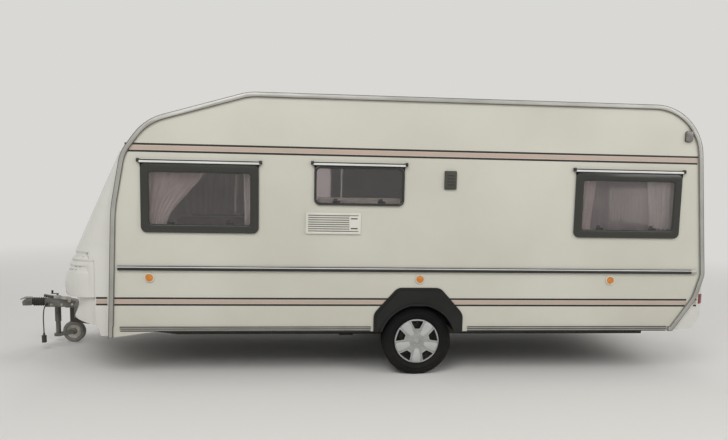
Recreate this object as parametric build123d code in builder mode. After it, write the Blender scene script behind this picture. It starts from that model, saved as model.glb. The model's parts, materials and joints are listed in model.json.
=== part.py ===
from build123d import *
import os
from math import atan2, cos, degrees, hypot, radians, sin, tan

# Overall layout in mm: a is the distance forward of the axle, y to the left, z up from the ground
rear_reach = 2660
hitch_reach = 3813
axle_x = (rear_reach - hitch_reach) / 2
half_width = 1135
wall = 30
inner_half = half_width - wall
seat_gap = 0.3
swing_gap = 8
pin_gap = 0.3

# Cabin heights
floor_z = 405
floor_thickness = 40
floor_top_z = floor_z + floor_thickness
roof_z = 2425
panel_split_z = roof_z - 510
crease_z = 1010
wall_band = panel_split_z - crease_z

# Side outline of the cabin, from the front bottom corner over the roof to the rear: a, z, corner radius
cabin_rear_a = 315 - rear_reach
cabin_front_a = 2600
rear_crown_a = 177 - rear_reach
rear_knee_a = 43 - rear_reach
rear_tuck_a = 105 - rear_reach
rear_knee_z = 920
cabin_outline = [
    (2640, 350, 0),
    (cabin_front_a, roof_z - 985, 1200),
    (2515, panel_split_z - 5, 350),
    (2315, roof_z - 245, 450),
    (1470, roof_z, 500),
    (rear_crown_a, roof_z, 470),
    (rear_knee_a, rear_knee_z, 150),
    (rear_tuck_a, 705, 300),
    (cabin_rear_a, floor_z, 0),
    (2250, floor_z, 0),
]
rear_lean = atan2(rear_crown_a - rear_knee_a, roof_z - rear_knee_z)

# Wheels, axle and wheel arches
tyre_radius = 305
tyre_half = 92.5
wheel_z = tyre_radius
wheel_y = half_width - 135
bead_radius = 182
rim_half = 80
spindle_radius = 25
drum_radius = 92
drum_depth = 165
trim_radius = 197.5
arch_radius = 335
arch_wall = 15
arch_inner_y = half_width - 265
arch_proud = 25
arch_flange = 9
arch_step = 18
arch_border = 26
arch_lip = 18
arch_return = 8
axle_tube_a = 150
axle_tube_radius = 40
arm_y = half_width - 365
arm_thickness = 45

# Chassis members
member_y = half_width - 515
member_height = 140
member_flange = 45
member_sheet = 5
member_rear_a = 330 - rear_reach
member_bend_a = 2150
member_tip_a = 3300
member_tip_y = 75
member_low_z = floor_z - member_height
axle_tube_z = member_low_z - axle_tube_radius - 3
cross_member_places = (member_rear_a + 80, -1150, 1000, member_bend_a - 90)
cross_member_width = 60
jack_pad_a = 600
jack_pad_size = (130, 60, 10)

# Windows: a of the rear edge, z of the lower edge, length, height, dark border, also on the right wall
window_height = 0.632 * wall_band
window_low_z = panel_split_z - 93 - window_height
small_window_height = 0.365 * wall_band
small_window_low_z = panel_split_z - 85 - small_window_height
side_windows = [
    (1388, window_low_z, 969, window_height, 65, True),
    (317 - rear_reach, window_low_z, 977, window_height, 65, True),
    (153, small_window_low_z, 772, small_window_height, 14, False),
]
end_window_length = 2 * half_width - 710
front_window_height = 0.62 * wall_band
rear_window_height = 0.575 * wall_band
end_window_z = crease_z + 0.5415 * wall_band
end_window_border = 65
window_corner = 50
window_overlap = 22
frame_proud = 18
pane_thickness = 6
pane_seat = 5
hinge_rail_height = 28
hinge_rail_proud = 24
hinge_rail_reach = 15

# Moulded nose
nose_half = half_width - 10
nose_shell = 25
nose_top_front_a = 2532
nose_front_a = 2991
nose_corner = 240
nose_top_corner = 40
nose_lean = atan2(nose_front_a - nose_top_front_a, panel_split_z - crease_z)
lid_shell = 18
lid_low_z = 696
lid_rear_a = 2750
lid_edge_gap = 6
lid_pin_radius = 3
lid_lug_radius = 7
lid_pin_a = nose_front_a + 8
lid_pin_z = crease_z - 5
skirt_shell = 12
tray_z = 530
shelf_thickness = 15

# Entry door on the right wall
door_rear_a = 560
door_low_z = 458
door_length = 616
door_height = roof_z - 725
door_corner = 60
door_flange = 28
door_flange_proud = 8
door_pin_y = half_width + 18
door_pin_a = door_rear_a + door_length + 6
door_pin_radius = 4
door_lug_radius = 7
door_lug_length = 60
door_hinge_places = [door_low_z + share * door_height for share in (0.142, 0.495, 0.848)]

# Roof hatches: a of the centre, length, width
roof_hatches = {"middle": (350, 700, 500), "rear": (1160 - rear_reach, 400, 400)}
hatch_flange = 40
hatch_curb = 26
hatch_lid_height = 42
hatch_shell = 4
hatch_pin_radius = 3
hatch_lug_radius = 6
hatch_pin_reach = hatch_flange + hatch_lug_radius + 2

# Rails and trims on the side walls
edge_rail_width = 42
edge_rail_proud = 15
belt_rail_low_z = 930
belt_rail_height = 45
belt_rail_proud = 20
skirt_rail_low_z = 420
skirt_rail_height = 30
skirt_rail_proud = 12

# Hitch
hitch_z = 450
housing_rear_a = 3250
housing_front_a = 3562
housing_half = 55
shaft_radius = 25
bellows_front_a = 3690
bellows_outer = 44
bellows_root = 34
ball_a = 3745
ball_radius = 25.2
ball_mouth_z = hitch_z - 34
ball_mouth_length = 26

# Jockey wheel
jockey_a = 3520
jockey_y = -170
jockey_trail = 160
jockey_radius = 110
jockey_half = 30
jockey_tube_radius = 30
jockey_bore = 24.3
jockey_stem_radius = 24

# Corner steadies: name, a of the pivot, direction in which the stowed leg points, side
steady_places = [
    ("front_left", 1750, 1, 1),
    ("front_right", 1750, 1, -1),
    ("rear_left", 910 - rear_reach, -1, 1),
    ("rear_right", 910 - rear_reach, -1, -1),
]
steady_y = half_width - 365
steady_z = 350
steady_length = 420
steady_half = 24
steady_pin_radius = 8

# Electrical lead: distance out of the gland along its direction, height
lead_radius = 5.5
lead_heading = (-0.14, 0.99)
lead_fillet_share = 0.45
lead_exit = (3540, 85)
lead_route = [(0, 430), (45, 427), (86, 405), (112, 365), (122, 315), (119, 265), (113, 215), (112, 175)]
plug_length = 92
plug_neck = 24

os.makedirs("parts", exist_ok=True)
pieces = {}


def at(a, y, z):
    """Point given by its distances forward of the axle, to the left and above the ground."""
    return (axle_x + a, y, z)


def side_plane(y):
    """Upright plane along the vehicle: local x runs forward of the axle, local y up, normal to the right."""
    return Plane(origin=at(0, y, 0), x_dir=(1, 0, 0), z_dir=(0, -1, 0))


def wall_plane(side, proud):
    """Side plane from which an extrusion by proud lies on the outer face of one side wall."""
    return side_plane(half_width + proud if side > 0 else -half_width)


def plan_plane(z):
    """Level plane: local x runs forward of the axle, local y to the left."""
    return Plane(origin=at(0, 0, z))


def cross_plane(a):
    """Plane across the vehicle: local x runs to the left, local y up, normal forward."""
    return Plane(origin=at(a, 0, 0), x_dir=(0, 1, 0), z_dir=(1, 0, 0))


def front_face_plane(z):
    """Plane on the slanted front face, seen from in front, centred at one height."""
    face_a = nose_front_a - (nose_front_a - nose_top_front_a) * (z - crease_z) / (panel_split_z - crease_z)
    return Plane(origin=at(face_a, 0, z), x_dir=(0, 1, 0), z_dir=(cos(nose_lean), 0, sin(nose_lean)))


def rear_face_plane(z):
    """Plane on the outer face of the leaning rear wall, centred at one height."""
    face_a = rear_knee_a + (rear_crown_a - rear_knee_a) * (z - rear_knee_z) / (roof_z - rear_knee_z)
    return Plane(origin=at(face_a, 0, z), x_dir=(0, -1, 0), z_dir=(-cos(rear_lean), 0, sin(rear_lean)))


def plate(plane, low, size, corner, border=0):
    """Rounded rectangle from its low corner and size, or a ring of it where a border is given."""
    with BuildSketch(plane) as sketch:
        with Locations((low[0] + size[0] / 2, low[1] + size[1] / 2)):
            RectangleRounded(size[0], size[1], corner)
            if border:
                inner_corner = max(corner - border / 2, corner / 2)
                RectangleRounded(size[0] - 2 * border, size[1] - 2 * border, inner_corner, mode=Mode.SUBTRACT)
    return sketch.sketch


def outline_face(plane, points, radii):
    """Closed outline with a rounding at each corner."""
    with BuildSketch(plane) as sketch:
        with BuildLine():
            FilletPolyline(points, radius=radii, close=True)
        make_face()
    return sketch.sketch


def nose_section(z, front_a, half, corner, rear_a=2400):
    """Level section of the nose: square at the rear, rounded at its two front corners."""
    points = [(rear_a, -half), (front_a, -half), (front_a, half), (rear_a, half)]
    return outline_face(plan_plane(z), points, [0, corner, corner, 0])


def nose_sections(rows, inset, corner_inset):
    """Sections of the nose from rows of z, front a, half width and corner radius, all moved inwards."""
    return [
        nose_section(z, front_a - inset, half - inset, corner - corner_inset)
        for z, front_a, half, corner in rows
    ]


# Profiles of the cabin in its side view
with BuildSketch() as cabin_profile:
    with BuildLine():
        FilletPolyline([row[:2] for row in cabin_outline], radius=[row[2] for row in cabin_outline], close=True)
    make_face()

with BuildSketch() as inner_profile:
    add(cabin_profile.sketch)
    offset(amount=-wall)

with BuildSketch() as rail_inner_profile:
    add(cabin_profile.sketch)
    offset(amount=-edge_rail_width)

with BuildPart() as cabin_block:
    with BuildSketch(side_plane(half_width + wall)):
        add(cabin_profile.sketch)
    extrude(amount=2 * (half_width + wall))

# Floor with cut-outs over the wheels
with BuildPart() as floor_panel:
    floor_length = cabin_front_a - cabin_rear_a - 3 * wall
    with BuildSketch(plan_plane(floor_z)):
        with Locations(((cabin_front_a + cabin_rear_a) / 2 + wall / 2, 0)):
            Rectangle(floor_length, 2 * inner_half)
        for side in (1, -1):
            with Locations((0, side * (arch_inner_y + inner_half) / 2)):
                arch_length = 2 * (arch_radius + arch_wall + 1)
                Rectangle(arch_length, inner_half - arch_inner_y, mode=Mode.SUBTRACT)
    extrude(amount=floor_thickness)
pieces["floor_panel"] = floor_panel

# Side walls with their wheel-arch, window and door openings
for side, name in ((1, "left_wall"), (-1, "right_wall")):
    with BuildPart() as side_wall:
        with BuildSketch(side_plane(half_width if side > 0 else -inner_half)) as wall_face:
            add(cabin_profile.sketch)
            with Locations((0, wheel_z)):
                Circle(arch_radius + arch_return, mode=Mode.SUBTRACT)
            for low_a, low_z, length, height, border, both in side_windows:
                if side > 0 or both:
                    with Locations((low_a + length / 2, low_z + height / 2)):
                        aperture = (length - 2 * window_overlap, height - 2 * window_overlap)
                        if border < window_overlap:
                            aperture = (length - 2 * border, height - 2 * border)
                        RectangleRounded(*aperture, window_corner / 2, mode=Mode.SUBTRACT)
            if side < 0:
                with Locations((door_rear_a + door_length / 2, door_low_z + door_height / 2)):
                    RectangleRounded(door_length, door_height, door_corner, mode=Mode.SUBTRACT)
        extrude(amount=wall)
    pieces[name] = side_wall

# Roof panel from the front slope over the roof to the top of the rear wall
with BuildPart() as roof_panel:
    with BuildSketch(side_plane(inner_half)):
        add(cabin_profile.sketch)
        add(inner_profile.sketch, mode=Mode.SUBTRACT)
        with Locations((0, panel_split_z)):
            Rectangle(3 * rear_reach, roof_z, align=(Align.CENTER, Align.MIN), mode=Mode.INTERSECT)
    extrude(amount=2 * inner_half)
    for hatch_a, length, width in roof_hatches.values():
        low = (hatch_a - length / 2, -width / 2)
        extrude(plate(plan_plane(roof_z - 2 * wall), low, (length, width), 30), amount=3 * wall, mode=Mode.SUBTRACT)
pieces["roof_panel"] = roof_panel

# Rear wall, leaning a little and tucked in at its foot
with BuildPart() as rear_wall:
    with BuildSketch(side_plane(inner_half)):
        add(cabin_profile.sketch)
        add(inner_profile.sketch, mode=Mode.SUBTRACT)
        with Locations((cabin_rear_a + wall, floor_z)):
            rear_height = panel_split_z - floor_z
            Rectangle(rear_reach, rear_height, align=(Align.MAX, Align.MIN), mode=Mode.INTERSECT)
    extrude(amount=2 * inner_half)
    rear_cut = (end_window_length - 2 * window_overlap, rear_window_height - 2 * window_overlap)
    rear_low = (-rear_cut[0] / 2, -rear_cut[1] / 2)
    rear_hole_plane = rear_face_plane(end_window_z).offset(-2 * wall)
    extrude(plate(rear_hole_plane, rear_low, rear_cut, window_corner), amount=3 * wall, mode=Mode.SUBTRACT)
pieces["rear_wall"] = rear_wall

# Bulkhead between the cabin and the gas locker, and the shelf over the locker behind the front panel
with BuildPart() as locker_bulkhead:
    with BuildSketch(side_plane(inner_half)):
        add(cabin_profile.sketch)
        add(inner_profile.sketch, mode=Mode.SUBTRACT)
        with Locations((cabin_front_a - wall, floor_z)):
            bulkhead_height = crease_z - floor_z
            Rectangle(rear_reach, bulkhead_height, align=(Align.MIN, Align.MIN), mode=Mode.INTERSECT)
    extrude(amount=2 * inner_half)
    shelf_front_a = nose_front_a - nose_shell - shelf_thickness
    shelf_half = nose_half - nose_shell - seat_gap
    shelf_face = nose_section(crease_z + 2, shelf_front_a, shelf_half, nose_corner, cabin_front_a + wall)
    extrude(shelf_face, amount=shelf_thickness)
pieces["locker_bulkhead"] = locker_bulkhead

# Moulded front panel: slanted upper shell, flat cheeks beside the locker and the fixed half of the lid's hinge
upper_rows = [
    (crease_z, nose_front_a, nose_half, nose_corner),
    (panel_split_z, nose_top_front_a, nose_half, nose_top_corner),
]
lid_lugs = [share * nose_half for share in (-0.64, -0.213, 0.213, 0.64)]
with BuildPart() as front_panel:
    loft(nose_sections(upper_rows, 0, 0), ruled=True)
    loft(nose_sections(upper_rows, nose_shell, nose_shell * 0.8), ruled=True, mode=Mode.SUBTRACT)
    for side in (1, -1):
        cheek_front_a = lid_rear_a - lid_edge_gap
        cheek_points = [
            (cabin_front_a - 3 * wall, crease_z + nose_shell / 2),
            (cheek_front_a, crease_z + nose_shell / 2),
            (cheek_front_a, 450),
            (cheek_front_a - 20, 440),
            (cheek_front_a - 40, 366),
            (cabin_front_a - 3 * wall, 374),
        ]
        cheek_y = nose_half if side > 0 else nose_shell - nose_half
        extrude(outline_face(side_plane(cheek_y), cheek_points, [0, 0, 15, 15, 15, 0]), amount=nose_shell)
    add(cabin_block.part, mode=Mode.SUBTRACT)
    front_cut = (end_window_length - 2 * window_overlap, front_window_height - 2 * window_overlap)
    front_low = (-front_cut[0] / 2, -front_cut[1] / 2)
    front_hole_plane = front_face_plane(end_window_z).offset(-2 * nose_shell)
    extrude(plate(front_hole_plane, front_low, front_cut, window_corner), amount=3 * nose_shell, mode=Mode.SUBTRACT)
    with Locations(at(lid_pin_a, 0, lid_pin_z)):
        Cylinder(lid_pin_radius, 2 * lid_lugs[-1] + 60, rotation=(90, 0, 0))
    for lug_y in lid_lugs:
        with Locations(at(lid_pin_a, lug_y, lid_pin_z)):
            Cylinder(lid_lug_radius, 60, rotation=(90, 0, 0))
        with Locations(at(lid_pin_a + lid_lug_radius, lug_y, lid_pin_z)):
            lug_size = (lid_lug_radius * 3, 60, crease_z - lid_pin_z + lid_lug_radius)
            Box(*lug_size, align=(Align.MAX, Align.CENTER, Align.MIN))
pieces["front_panel"] = front_panel

# Gas-locker lid: bulged shell that wraps round both front corners, with its hinge knuckles
lid_rows = [
    (lid_low_z, 3040, nose_half, nose_corner),
    (780, 3054, nose_half, nose_corner),
    (900, 3037, nose_half, nose_corner),
    (crease_z, nose_front_a, nose_half, nose_corner),
]
knuckle_places = [share * nose_half for share in (-0.427, 0.427)]
knuckle_length = 300
with BuildPart() as gas_locker_lid:
    loft(nose_sections(lid_rows, 0, 0))
    loft(nose_sections(lid_rows, lid_shell, lid_shell), mode=Mode.SUBTRACT)
    lid_top_z = crease_z - lid_edge_gap - lid_lug_radius
    with Locations(at(lid_rear_a, 0, lid_low_z)):
        lid_limits = (rear_reach, 3 * nose_half, lid_top_z - lid_low_z)
        Box(*lid_limits, align=(Align.MIN, Align.CENTER, Align.MIN), mode=Mode.INTERSECT)
    for knuckle_y in knuckle_places:
        with Locations(at(lid_pin_a, knuckle_y, lid_pin_z)):
            Cylinder(lid_lug_radius, knuckle_length, rotation=(90, 0, 0))
        with Locations(at(lid_pin_a + lid_lug_radius, knuckle_y, lid_pin_z)):
            strap_size = (lid_lug_radius * 1.6, knuckle_length, lid_pin_z - lid_top_z + 12)
            Box(*strap_size, align=(Align.MAX, Align.CENTER, Align.MAX))
        with Locations(at(lid_pin_a, knuckle_y, lid_pin_z)):
            bore_length = knuckle_length + 2 * swing_gap
            Cylinder(lid_pin_radius + pin_gap, bore_length, rotation=(90, 0, 0), mode=Mode.SUBTRACT)
pieces["gas_locker_lid"] = gas_locker_lid

# Front skirt below the lid, with a rolled lip and the locker's tray
skirt_half = nose_half - nose_shell
skirt_rows = [
    (440, 2950, skirt_half, 200),
    (520, 2976, skirt_half, 215),
    (600, 2948, skirt_half, 210),
    (690, 2978, skirt_half, 220),
]
skirt_edge = [(2560, 300), (2560, 396), (2733, 447), (2860, 481), (3000, 518), (3100, 518), (3100, 300)]
with BuildPart() as front_skirt:
    loft(nose_sections(skirt_rows, 0, 0))
    loft(nose_sections(skirt_rows, skirt_shell, skirt_shell), mode=Mode.SUBTRACT)
    tray_face = nose_section(tray_z, skirt_rows[2][1] - skirt_shell / 2, skirt_half - skirt_shell / 2, 200)
    extrude(tray_face, amount=skirt_shell)
    extrude(
        outline_face(side_plane(half_width), skirt_edge, [0] * len(skirt_edge)),
        amount=2 * half_width,
        mode=Mode.SUBTRACT,
    )
    add(cabin_block.part, mode=Mode.SUBTRACT)
pieces["front_skirt"] = front_skirt

# Rear bumper moulding under the rear wall
bumper_face_a = 13 - rear_reach
bumper_shell = 20
bumper_half = half_width - 12
bumper_rows = [(87, 950), (57, 950), (0, 860), (0, 600), (47, 495), (107, 428), (262, 412), (347, 500)]
bumper_outline = [(bumper_face_a + inset, z) for inset, z in bumper_rows]
hollow_rows = [(147, 930), (69, 930), (20, 853), (20, 604), (63, 507), (115, 449), (257, 434), (347, 520)]
bumper_hollow = [(bumper_face_a + inset, z) for inset, z in hollow_rows]
with BuildPart() as rear_bumper:
    with BuildSketch(side_plane(half_width)):
        add(outline_face(Plane.XY, bumper_outline, [0, 20, 60, 120, 80, 60, 5, 0]))
        add(cabin_profile.sketch, mode=Mode.SUBTRACT)
    extrude(amount=2 * half_width)
    with BuildSketch(plan_plane(0)):
        corner_points = [
            (bumper_face_a + 0.5, -bumper_half),
            (-2000, -bumper_half),
            (-2000, bumper_half),
            (bumper_face_a + 0.5, bumper_half),
        ]
        add(outline_face(Plane.XY, corner_points, [70, 0, 0, 70]))
    extrude(amount=roof_z, mode=Mode.INTERSECT)
    hollow_half = bumper_half - 3 * bumper_shell
    hollow_face = outline_face(side_plane(hollow_half), bumper_hollow, [0, 0, 40, 100, 60, 40, 0, 0])
    extrude(hollow_face, amount=2 * hollow_half, mode=Mode.SUBTRACT)
pieces["rear_bumper"] = rear_bumper

# Wheel boxes inside the cabin
with BuildPart() as wheel_boxes:
    for side in (1, -1):
        for radius, depth, mode in (
            (arch_radius + arch_wall, inner_half - arch_inner_y, Mode.ADD),
            (arch_radius, inner_half - arch_inner_y - arch_wall, Mode.SUBTRACT),
        ):
            start_y = inner_half if side > 0 else -inner_half + depth
            with BuildSketch(side_plane(start_y)):
                with Locations((0, wheel_z)):
                    Circle(radius)
                with Locations((0, floor_z)):
                    Rectangle(3 * radius, 3 * radius, align=(Align.CENTER, Align.MIN), mode=Mode.INTERSECT)
            extrude(amount=depth, mode=mode)
pieces["wheel_boxes"] = wheel_boxes

# Wheel-arch trims: eight-cornered plates round the wheel openings, with a raised step and a lip
arch_trim_points = [(-396, 405), (-396, 562), (-190, 792), (190, 792), (396, 562), (396, 405)]
with BuildPart() as arch_trims:
    for side in (1, -1):
        for proud, border in ((arch_flange, 0), (arch_step, arch_border)):
            with BuildSketch(wall_plane(side, proud)):
                add(outline_face(Plane.XY, arch_trim_points, [0, 100, 90, 90, 100, 0]))
                offset(amount=-border)
                with Locations((0, floor_z)):
                    Rectangle(3 * arch_radius, 2 * arch_radius, align=(Align.CENTER, Align.MIN), mode=Mode.INTERSECT)
                with Locations((0, wheel_z)):
                    Circle(arch_radius, mode=Mode.SUBTRACT)
            extrude(amount=proud)
        return_depth = wall - seat_gap
        return_plane = side_plane(half_width + arch_proud if side > 0 else return_depth - half_width)
        for lip_plane, lip_width, depth in (
            (wall_plane(side, arch_proud), arch_lip, arch_proud),
            (return_plane, arch_return - seat_gap, arch_proud + return_depth),
        ):
            with BuildSketch(lip_plane):
                with Locations((0, wheel_z)):
                    Circle(arch_radius + lip_width)
                    Circle(arch_radius, mode=Mode.SUBTRACT)
                with Locations((0, floor_z)):
                    Rectangle(3 * arch_radius, 2 * arch_radius, align=(Align.CENTER, Align.MIN), mode=Mode.INTERSECT)
            extrude(amount=depth)
pieces["arch_trims"] = arch_trims

# Edge rails along the outline of both walls
with BuildPart() as edge_rails:
    for side in (1, -1):
        with BuildSketch(wall_plane(side, edge_rail_proud)):
            add(cabin_profile.sketch)
            add(rail_inner_profile.sketch, mode=Mode.SUBTRACT)
            with Locations((cabin_rear_a + edge_rail_width, 0)):
                strip_length = cabin_front_a - cabin_rear_a - edge_rail_width
                strip = (strip_length, floor_z + edge_rail_width + 1)
                Rectangle(*strip, align=(Align.MIN, Align.MIN), mode=Mode.SUBTRACT)
        extrude(amount=edge_rail_proud)
pieces["edge_rails"] = edge_rails

# Belt and skirt rails: start a, length, low z, height, proud, corner radius
side_rail_rows = [
    (120 - rear_reach, rear_reach + 2435, belt_rail_low_z, belt_rail_height, belt_rail_proud, 8),
    (416, 2130, skirt_rail_low_z, skirt_rail_height, skirt_rail_proud, 6),
    (370 - rear_reach, rear_reach - 809, skirt_rail_low_z, skirt_rail_height, skirt_rail_proud, 6),
]
with BuildPart() as side_rails:
    for side in (1, -1):
        for start_a, length, low_z, height, proud, corner in side_rail_rows:
            with BuildSketch(wall_plane(side, proud)):
                add(plate(Plane.XY, (start_a, low_z), (length, height), corner))
                if side < 0:
                    door_clear = door_flange + swing_gap
                    with Locations((door_rear_a + door_length / 2, door_low_z + door_height / 2)):
                        door_space = (door_length + 2 * door_clear, door_height + 2 * door_clear)
                        Rectangle(*door_space, mode=Mode.SUBTRACT)
            extrude(amount=proud)
pieces["side_rails"] = side_rails

# Window frames, panes and hinge rails: plane on the wall's face, low corner, size, border
window_places = []
for side in (1, -1):
    for low_a, low_z, length, height, border, both in side_windows:
        if side > 0 or both:
            window_places.append((side_plane(side * half_width), side, (low_a, low_z), (length, height), border))
for face_plane, height in (
    (front_face_plane(end_window_z), front_window_height),
    (rear_face_plane(end_window_z), rear_window_height),
):
    low = (-end_window_length / 2, -height / 2)
    window_places.append((face_plane, -1, low, (end_window_length, height), end_window_border))

with BuildPart() as window_frames:
    for face_plane, side, low, size, border in window_places:
        extrude(plate(face_plane, low, size, window_corner, border), amount=-side * frame_proud)
pieces["window_frames"] = window_frames

with BuildPart() as window_panes:
    for face_plane, side, low, size, border in window_places:
        inset = border + seat_gap
        pane_low = (low[0] + inset, low[1] + inset)
        pane_size = (size[0] - 2 * inset, size[1] - 2 * inset)
        pane_corner = max(window_corner - border / 2, window_corner / 2)
        pane_plane = face_plane.offset(-side * pane_seat)
        extrude(plate(pane_plane, pane_low, pane_size, pane_corner), amount=-side * pane_thickness)
pieces["window_panes"] = window_panes

with BuildPart() as window_rails:
    for face_plane, side, low, size, border in window_places:
        rail_low = (low[0] - hinge_rail_reach, low[1] + size[1] + seat_gap)
        rail_size = (size[0] + 2 * hinge_rail_reach, hinge_rail_height)
        extrude(plate(face_plane, rail_low, rail_size, 10), amount=-side * hinge_rail_proud)
pieces["window_rails"] = window_rails

# Refrigerator vent with its louvres
vent_low, vent_size, vent_proud = (523, small_window_low_z - 244), (470, 180), 14
louvre_rows, louvre_pitch, louvre_gap = 8, 19, 9
with BuildPart() as fridge_vent:
    extrude(plate(wall_plane(1, vent_proud), vent_low, vent_size, 12), amount=vent_proud)
    with BuildSketch(wall_plane(1, vent_proud)):
        with Locations((vent_low[0] + vent_size[0] / 2, vent_low[1] + vent_size[1] / 2)):
            with GridLocations(0, louvre_pitch, 1, louvre_rows):
                SlotOverall(vent_size[0] - 40, louvre_gap)
    extrude(amount=vent_proud * 0.7, mode=Mode.SUBTRACT)
pieces["fridge_vent"] = fridge_vent

# Flue cover of the heater
flue_low, flue_size, flue_proud = (-299, panel_split_z - 264), (106, 160), 22
with BuildPart() as flue_cover:
    extrude(plate(wall_plane(1, flue_proud), flue_low, flue_size, 10), amount=flue_proud)
    chamfer(flue_cover.faces().sort_by(Axis.Y)[-1].edges(), 6)
pieces["flue_cover"] = flue_cover

# Lamps and reflectors on the walls and the bumper
reflector_places = (2296, -4, 928 - rear_reach)
reflector_z = 868
reflector_radius = 34
reflector_proud = 9
with BuildPart() as side_reflectors:
    for side in (1, -1):
        with BuildSketch(wall_plane(side, reflector_proud)):
            with Locations(*[(place, reflector_z) for place in reflector_places]):
                Circle(reflector_radius)
        extrude(amount=reflector_proud)
pieces["side_reflectors"] = side_reflectors

marker_low, marker_size, marker_proud = (250 - rear_reach, roof_z - 315), (62, 92), 26
with BuildPart() as marker_lamps:
    for side in (1, -1):
        extrude(plate(wall_plane(side, marker_proud), marker_low, marker_size, 16), amount=marker_proud)
pieces["marker_lamps"] = marker_lamps

lamp_depth = rear_reach + bumper_face_a
lamp_size = (190, 135)
lamp_low_z = 655
lamp_inset = 73
with BuildPart() as tail_lamps:
    for side in (1, -1):
        low_y = bumper_half - lamp_inset - lamp_size[0] if side > 0 else lamp_inset - bumper_half
        extrude(plate(cross_plane(-rear_reach), (low_y, lamp_low_z), lamp_size, 14), amount=lamp_depth)
pieces["tail_lamps"] = tail_lamps

plate_size = (540, 130)
plate_thickness = 8
with BuildPart() as plate_holder:
    plate_plane = cross_plane(bumper_face_a - plate_thickness)
    extrude(plate(plate_plane, (-plate_size[0] / 2, lamp_low_z), plate_size, 10), amount=plate_thickness)
pieces["plate_holder"] = plate_holder

# Entry door: frame with hinge pins, leaf with knuckles, window and handle
leaf_low = (door_rear_a + swing_gap, door_low_z + swing_gap)
leaf_size = (door_length - 2 * swing_gap, door_height - 2 * swing_gap)
door_window_border = 130
door_window_low = (door_rear_a + door_window_border, door_low_z + 0.542 * door_height)
door_window_size = (door_length - 2 * door_window_border, 0.282 * door_height)
handle_low = (door_rear_a + 30, door_low_z + 0.39 * door_height)
handle_size = (80, 170)
handle_plate = 6
grip_size = (22, 130)
grip_proud = 16
with BuildPart() as door_frame:
    flange_low = (door_rear_a - door_flange, door_low_z - door_flange)
    flange_size = (door_length + 2 * door_flange, door_height + 2 * door_flange)
    flange_plane = wall_plane(-1, door_flange_proud)
    flange_face = plate(flange_plane, flange_low, flange_size, door_corner + door_flange / 2, door_flange)
    extrude(flange_face, amount=door_flange_proud)
    for place in door_hinge_places:
        with Locations(at(door_pin_a, -door_pin_y, place)):
            Cylinder(door_pin_radius, 3 * door_lug_length)
        for end in (-1, 1):
            with Locations(at(door_pin_a, -door_pin_y, place + end * door_lug_length)):
                Cylinder(door_lug_radius, door_lug_length)
                lug_depth = door_pin_y - half_width - door_flange_proud
                Box(door_lug_radius, lug_depth, door_lug_length, align=(Align.CENTER, Align.MIN, Align.CENTER))
pieces["door_frame"] = door_frame

with BuildPart() as door_leaf:
    extrude(plate(side_plane(-inner_half), leaf_low, leaf_size, door_corner - swing_gap), amount=wall)
    extrude(
        plate(side_plane(-inner_half), door_window_low, door_window_size, window_corner),
        amount=wall,
        mode=Mode.SUBTRACT,
    )
    knuckle_height = door_lug_length - 2
    leaf_edge_a = leaf_low[0] + leaf_size[0]
    for place in door_hinge_places:
        with Locations(at(door_pin_a, -door_pin_y, place)):
            Cylinder(door_lug_radius, knuckle_height)
        with Locations(at(leaf_edge_a - 10, -half_width, place)):
            upright = (12, door_pin_y - half_width + door_lug_radius, knuckle_height)
            Box(*upright, align=(Align.MIN, Align.MAX, Align.CENTER))
        with Locations(at(leaf_edge_a - 10, -door_pin_y, place)):
            bridge = (door_pin_a - leaf_edge_a + 10, door_lug_radius, knuckle_height)
            Box(*bridge, align=(Align.MIN, Align.MAX, Align.CENTER))
        with Locations(at(door_pin_a, -door_pin_y, place)):
            Cylinder(door_pin_radius + pin_gap, knuckle_height + 2, mode=Mode.SUBTRACT)
pieces["door_leaf"] = door_leaf

with BuildPart() as door_window:
    inset_low = tuple(value + seat_gap for value in door_window_low)
    inset_size = tuple(value - 2 * seat_gap for value in door_window_size)
    pane_plane = side_plane(-half_width + pane_seat + pane_thickness)
    extrude(plate(pane_plane, inset_low, inset_size, window_corner), amount=pane_thickness)
pieces["door_window"] = door_window

with BuildPart() as door_handle:
    extrude(plate(wall_plane(-1, handle_plate), handle_low, handle_size, 14), amount=handle_plate)
    grip_low = (handle_low[0] + 15, handle_low[1] + (handle_size[1] - grip_size[1]) / 2)
    extrude(plate(side_plane(-half_width - handle_plate), grip_low, grip_size, 8), amount=grip_proud)
pieces["door_handle"] = door_handle

# Roof hatches: curbs with hinge pins, and domed lids that open at their rear edge
with BuildPart() as hatch_frames:
    for hatch_a, length, width in roof_hatches.values():
        low = (hatch_a - length / 2 - hatch_flange, -width / 2 - hatch_flange)
        size = (length + 2 * hatch_flange, width + 2 * hatch_flange)
        extrude(plate(plan_plane(roof_z), low, size, 40, hatch_flange), amount=hatch_curb)
        pin_a = hatch_a + length / 2 + hatch_pin_reach
        pin_z = roof_z + hatch_curb + hatch_lug_radius
        with Locations(at(pin_a, 0, pin_z)):
            Cylinder(hatch_pin_radius, width * 0.6, rotation=(90, 0, 0))
        for side in (1, -1):
            with Locations(at(pin_a, side * width * 0.28, pin_z)):
                Cylinder(hatch_lug_radius, width * 0.08, rotation=(90, 0, 0))
            with Locations(at(pin_a + hatch_lug_radius, side * width * 0.28, roof_z)):
                post = (2 * hatch_lug_radius, width * 0.08, hatch_curb + hatch_lug_radius)
                Box(*post, align=(Align.MAX, Align.CENTER, Align.MIN))
                foot = (4 * hatch_lug_radius, width * 0.08, hatch_curb)
                Box(*foot, align=(Align.MAX, Align.CENTER, Align.MIN))
pieces["hatch_frames"] = hatch_frames

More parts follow.
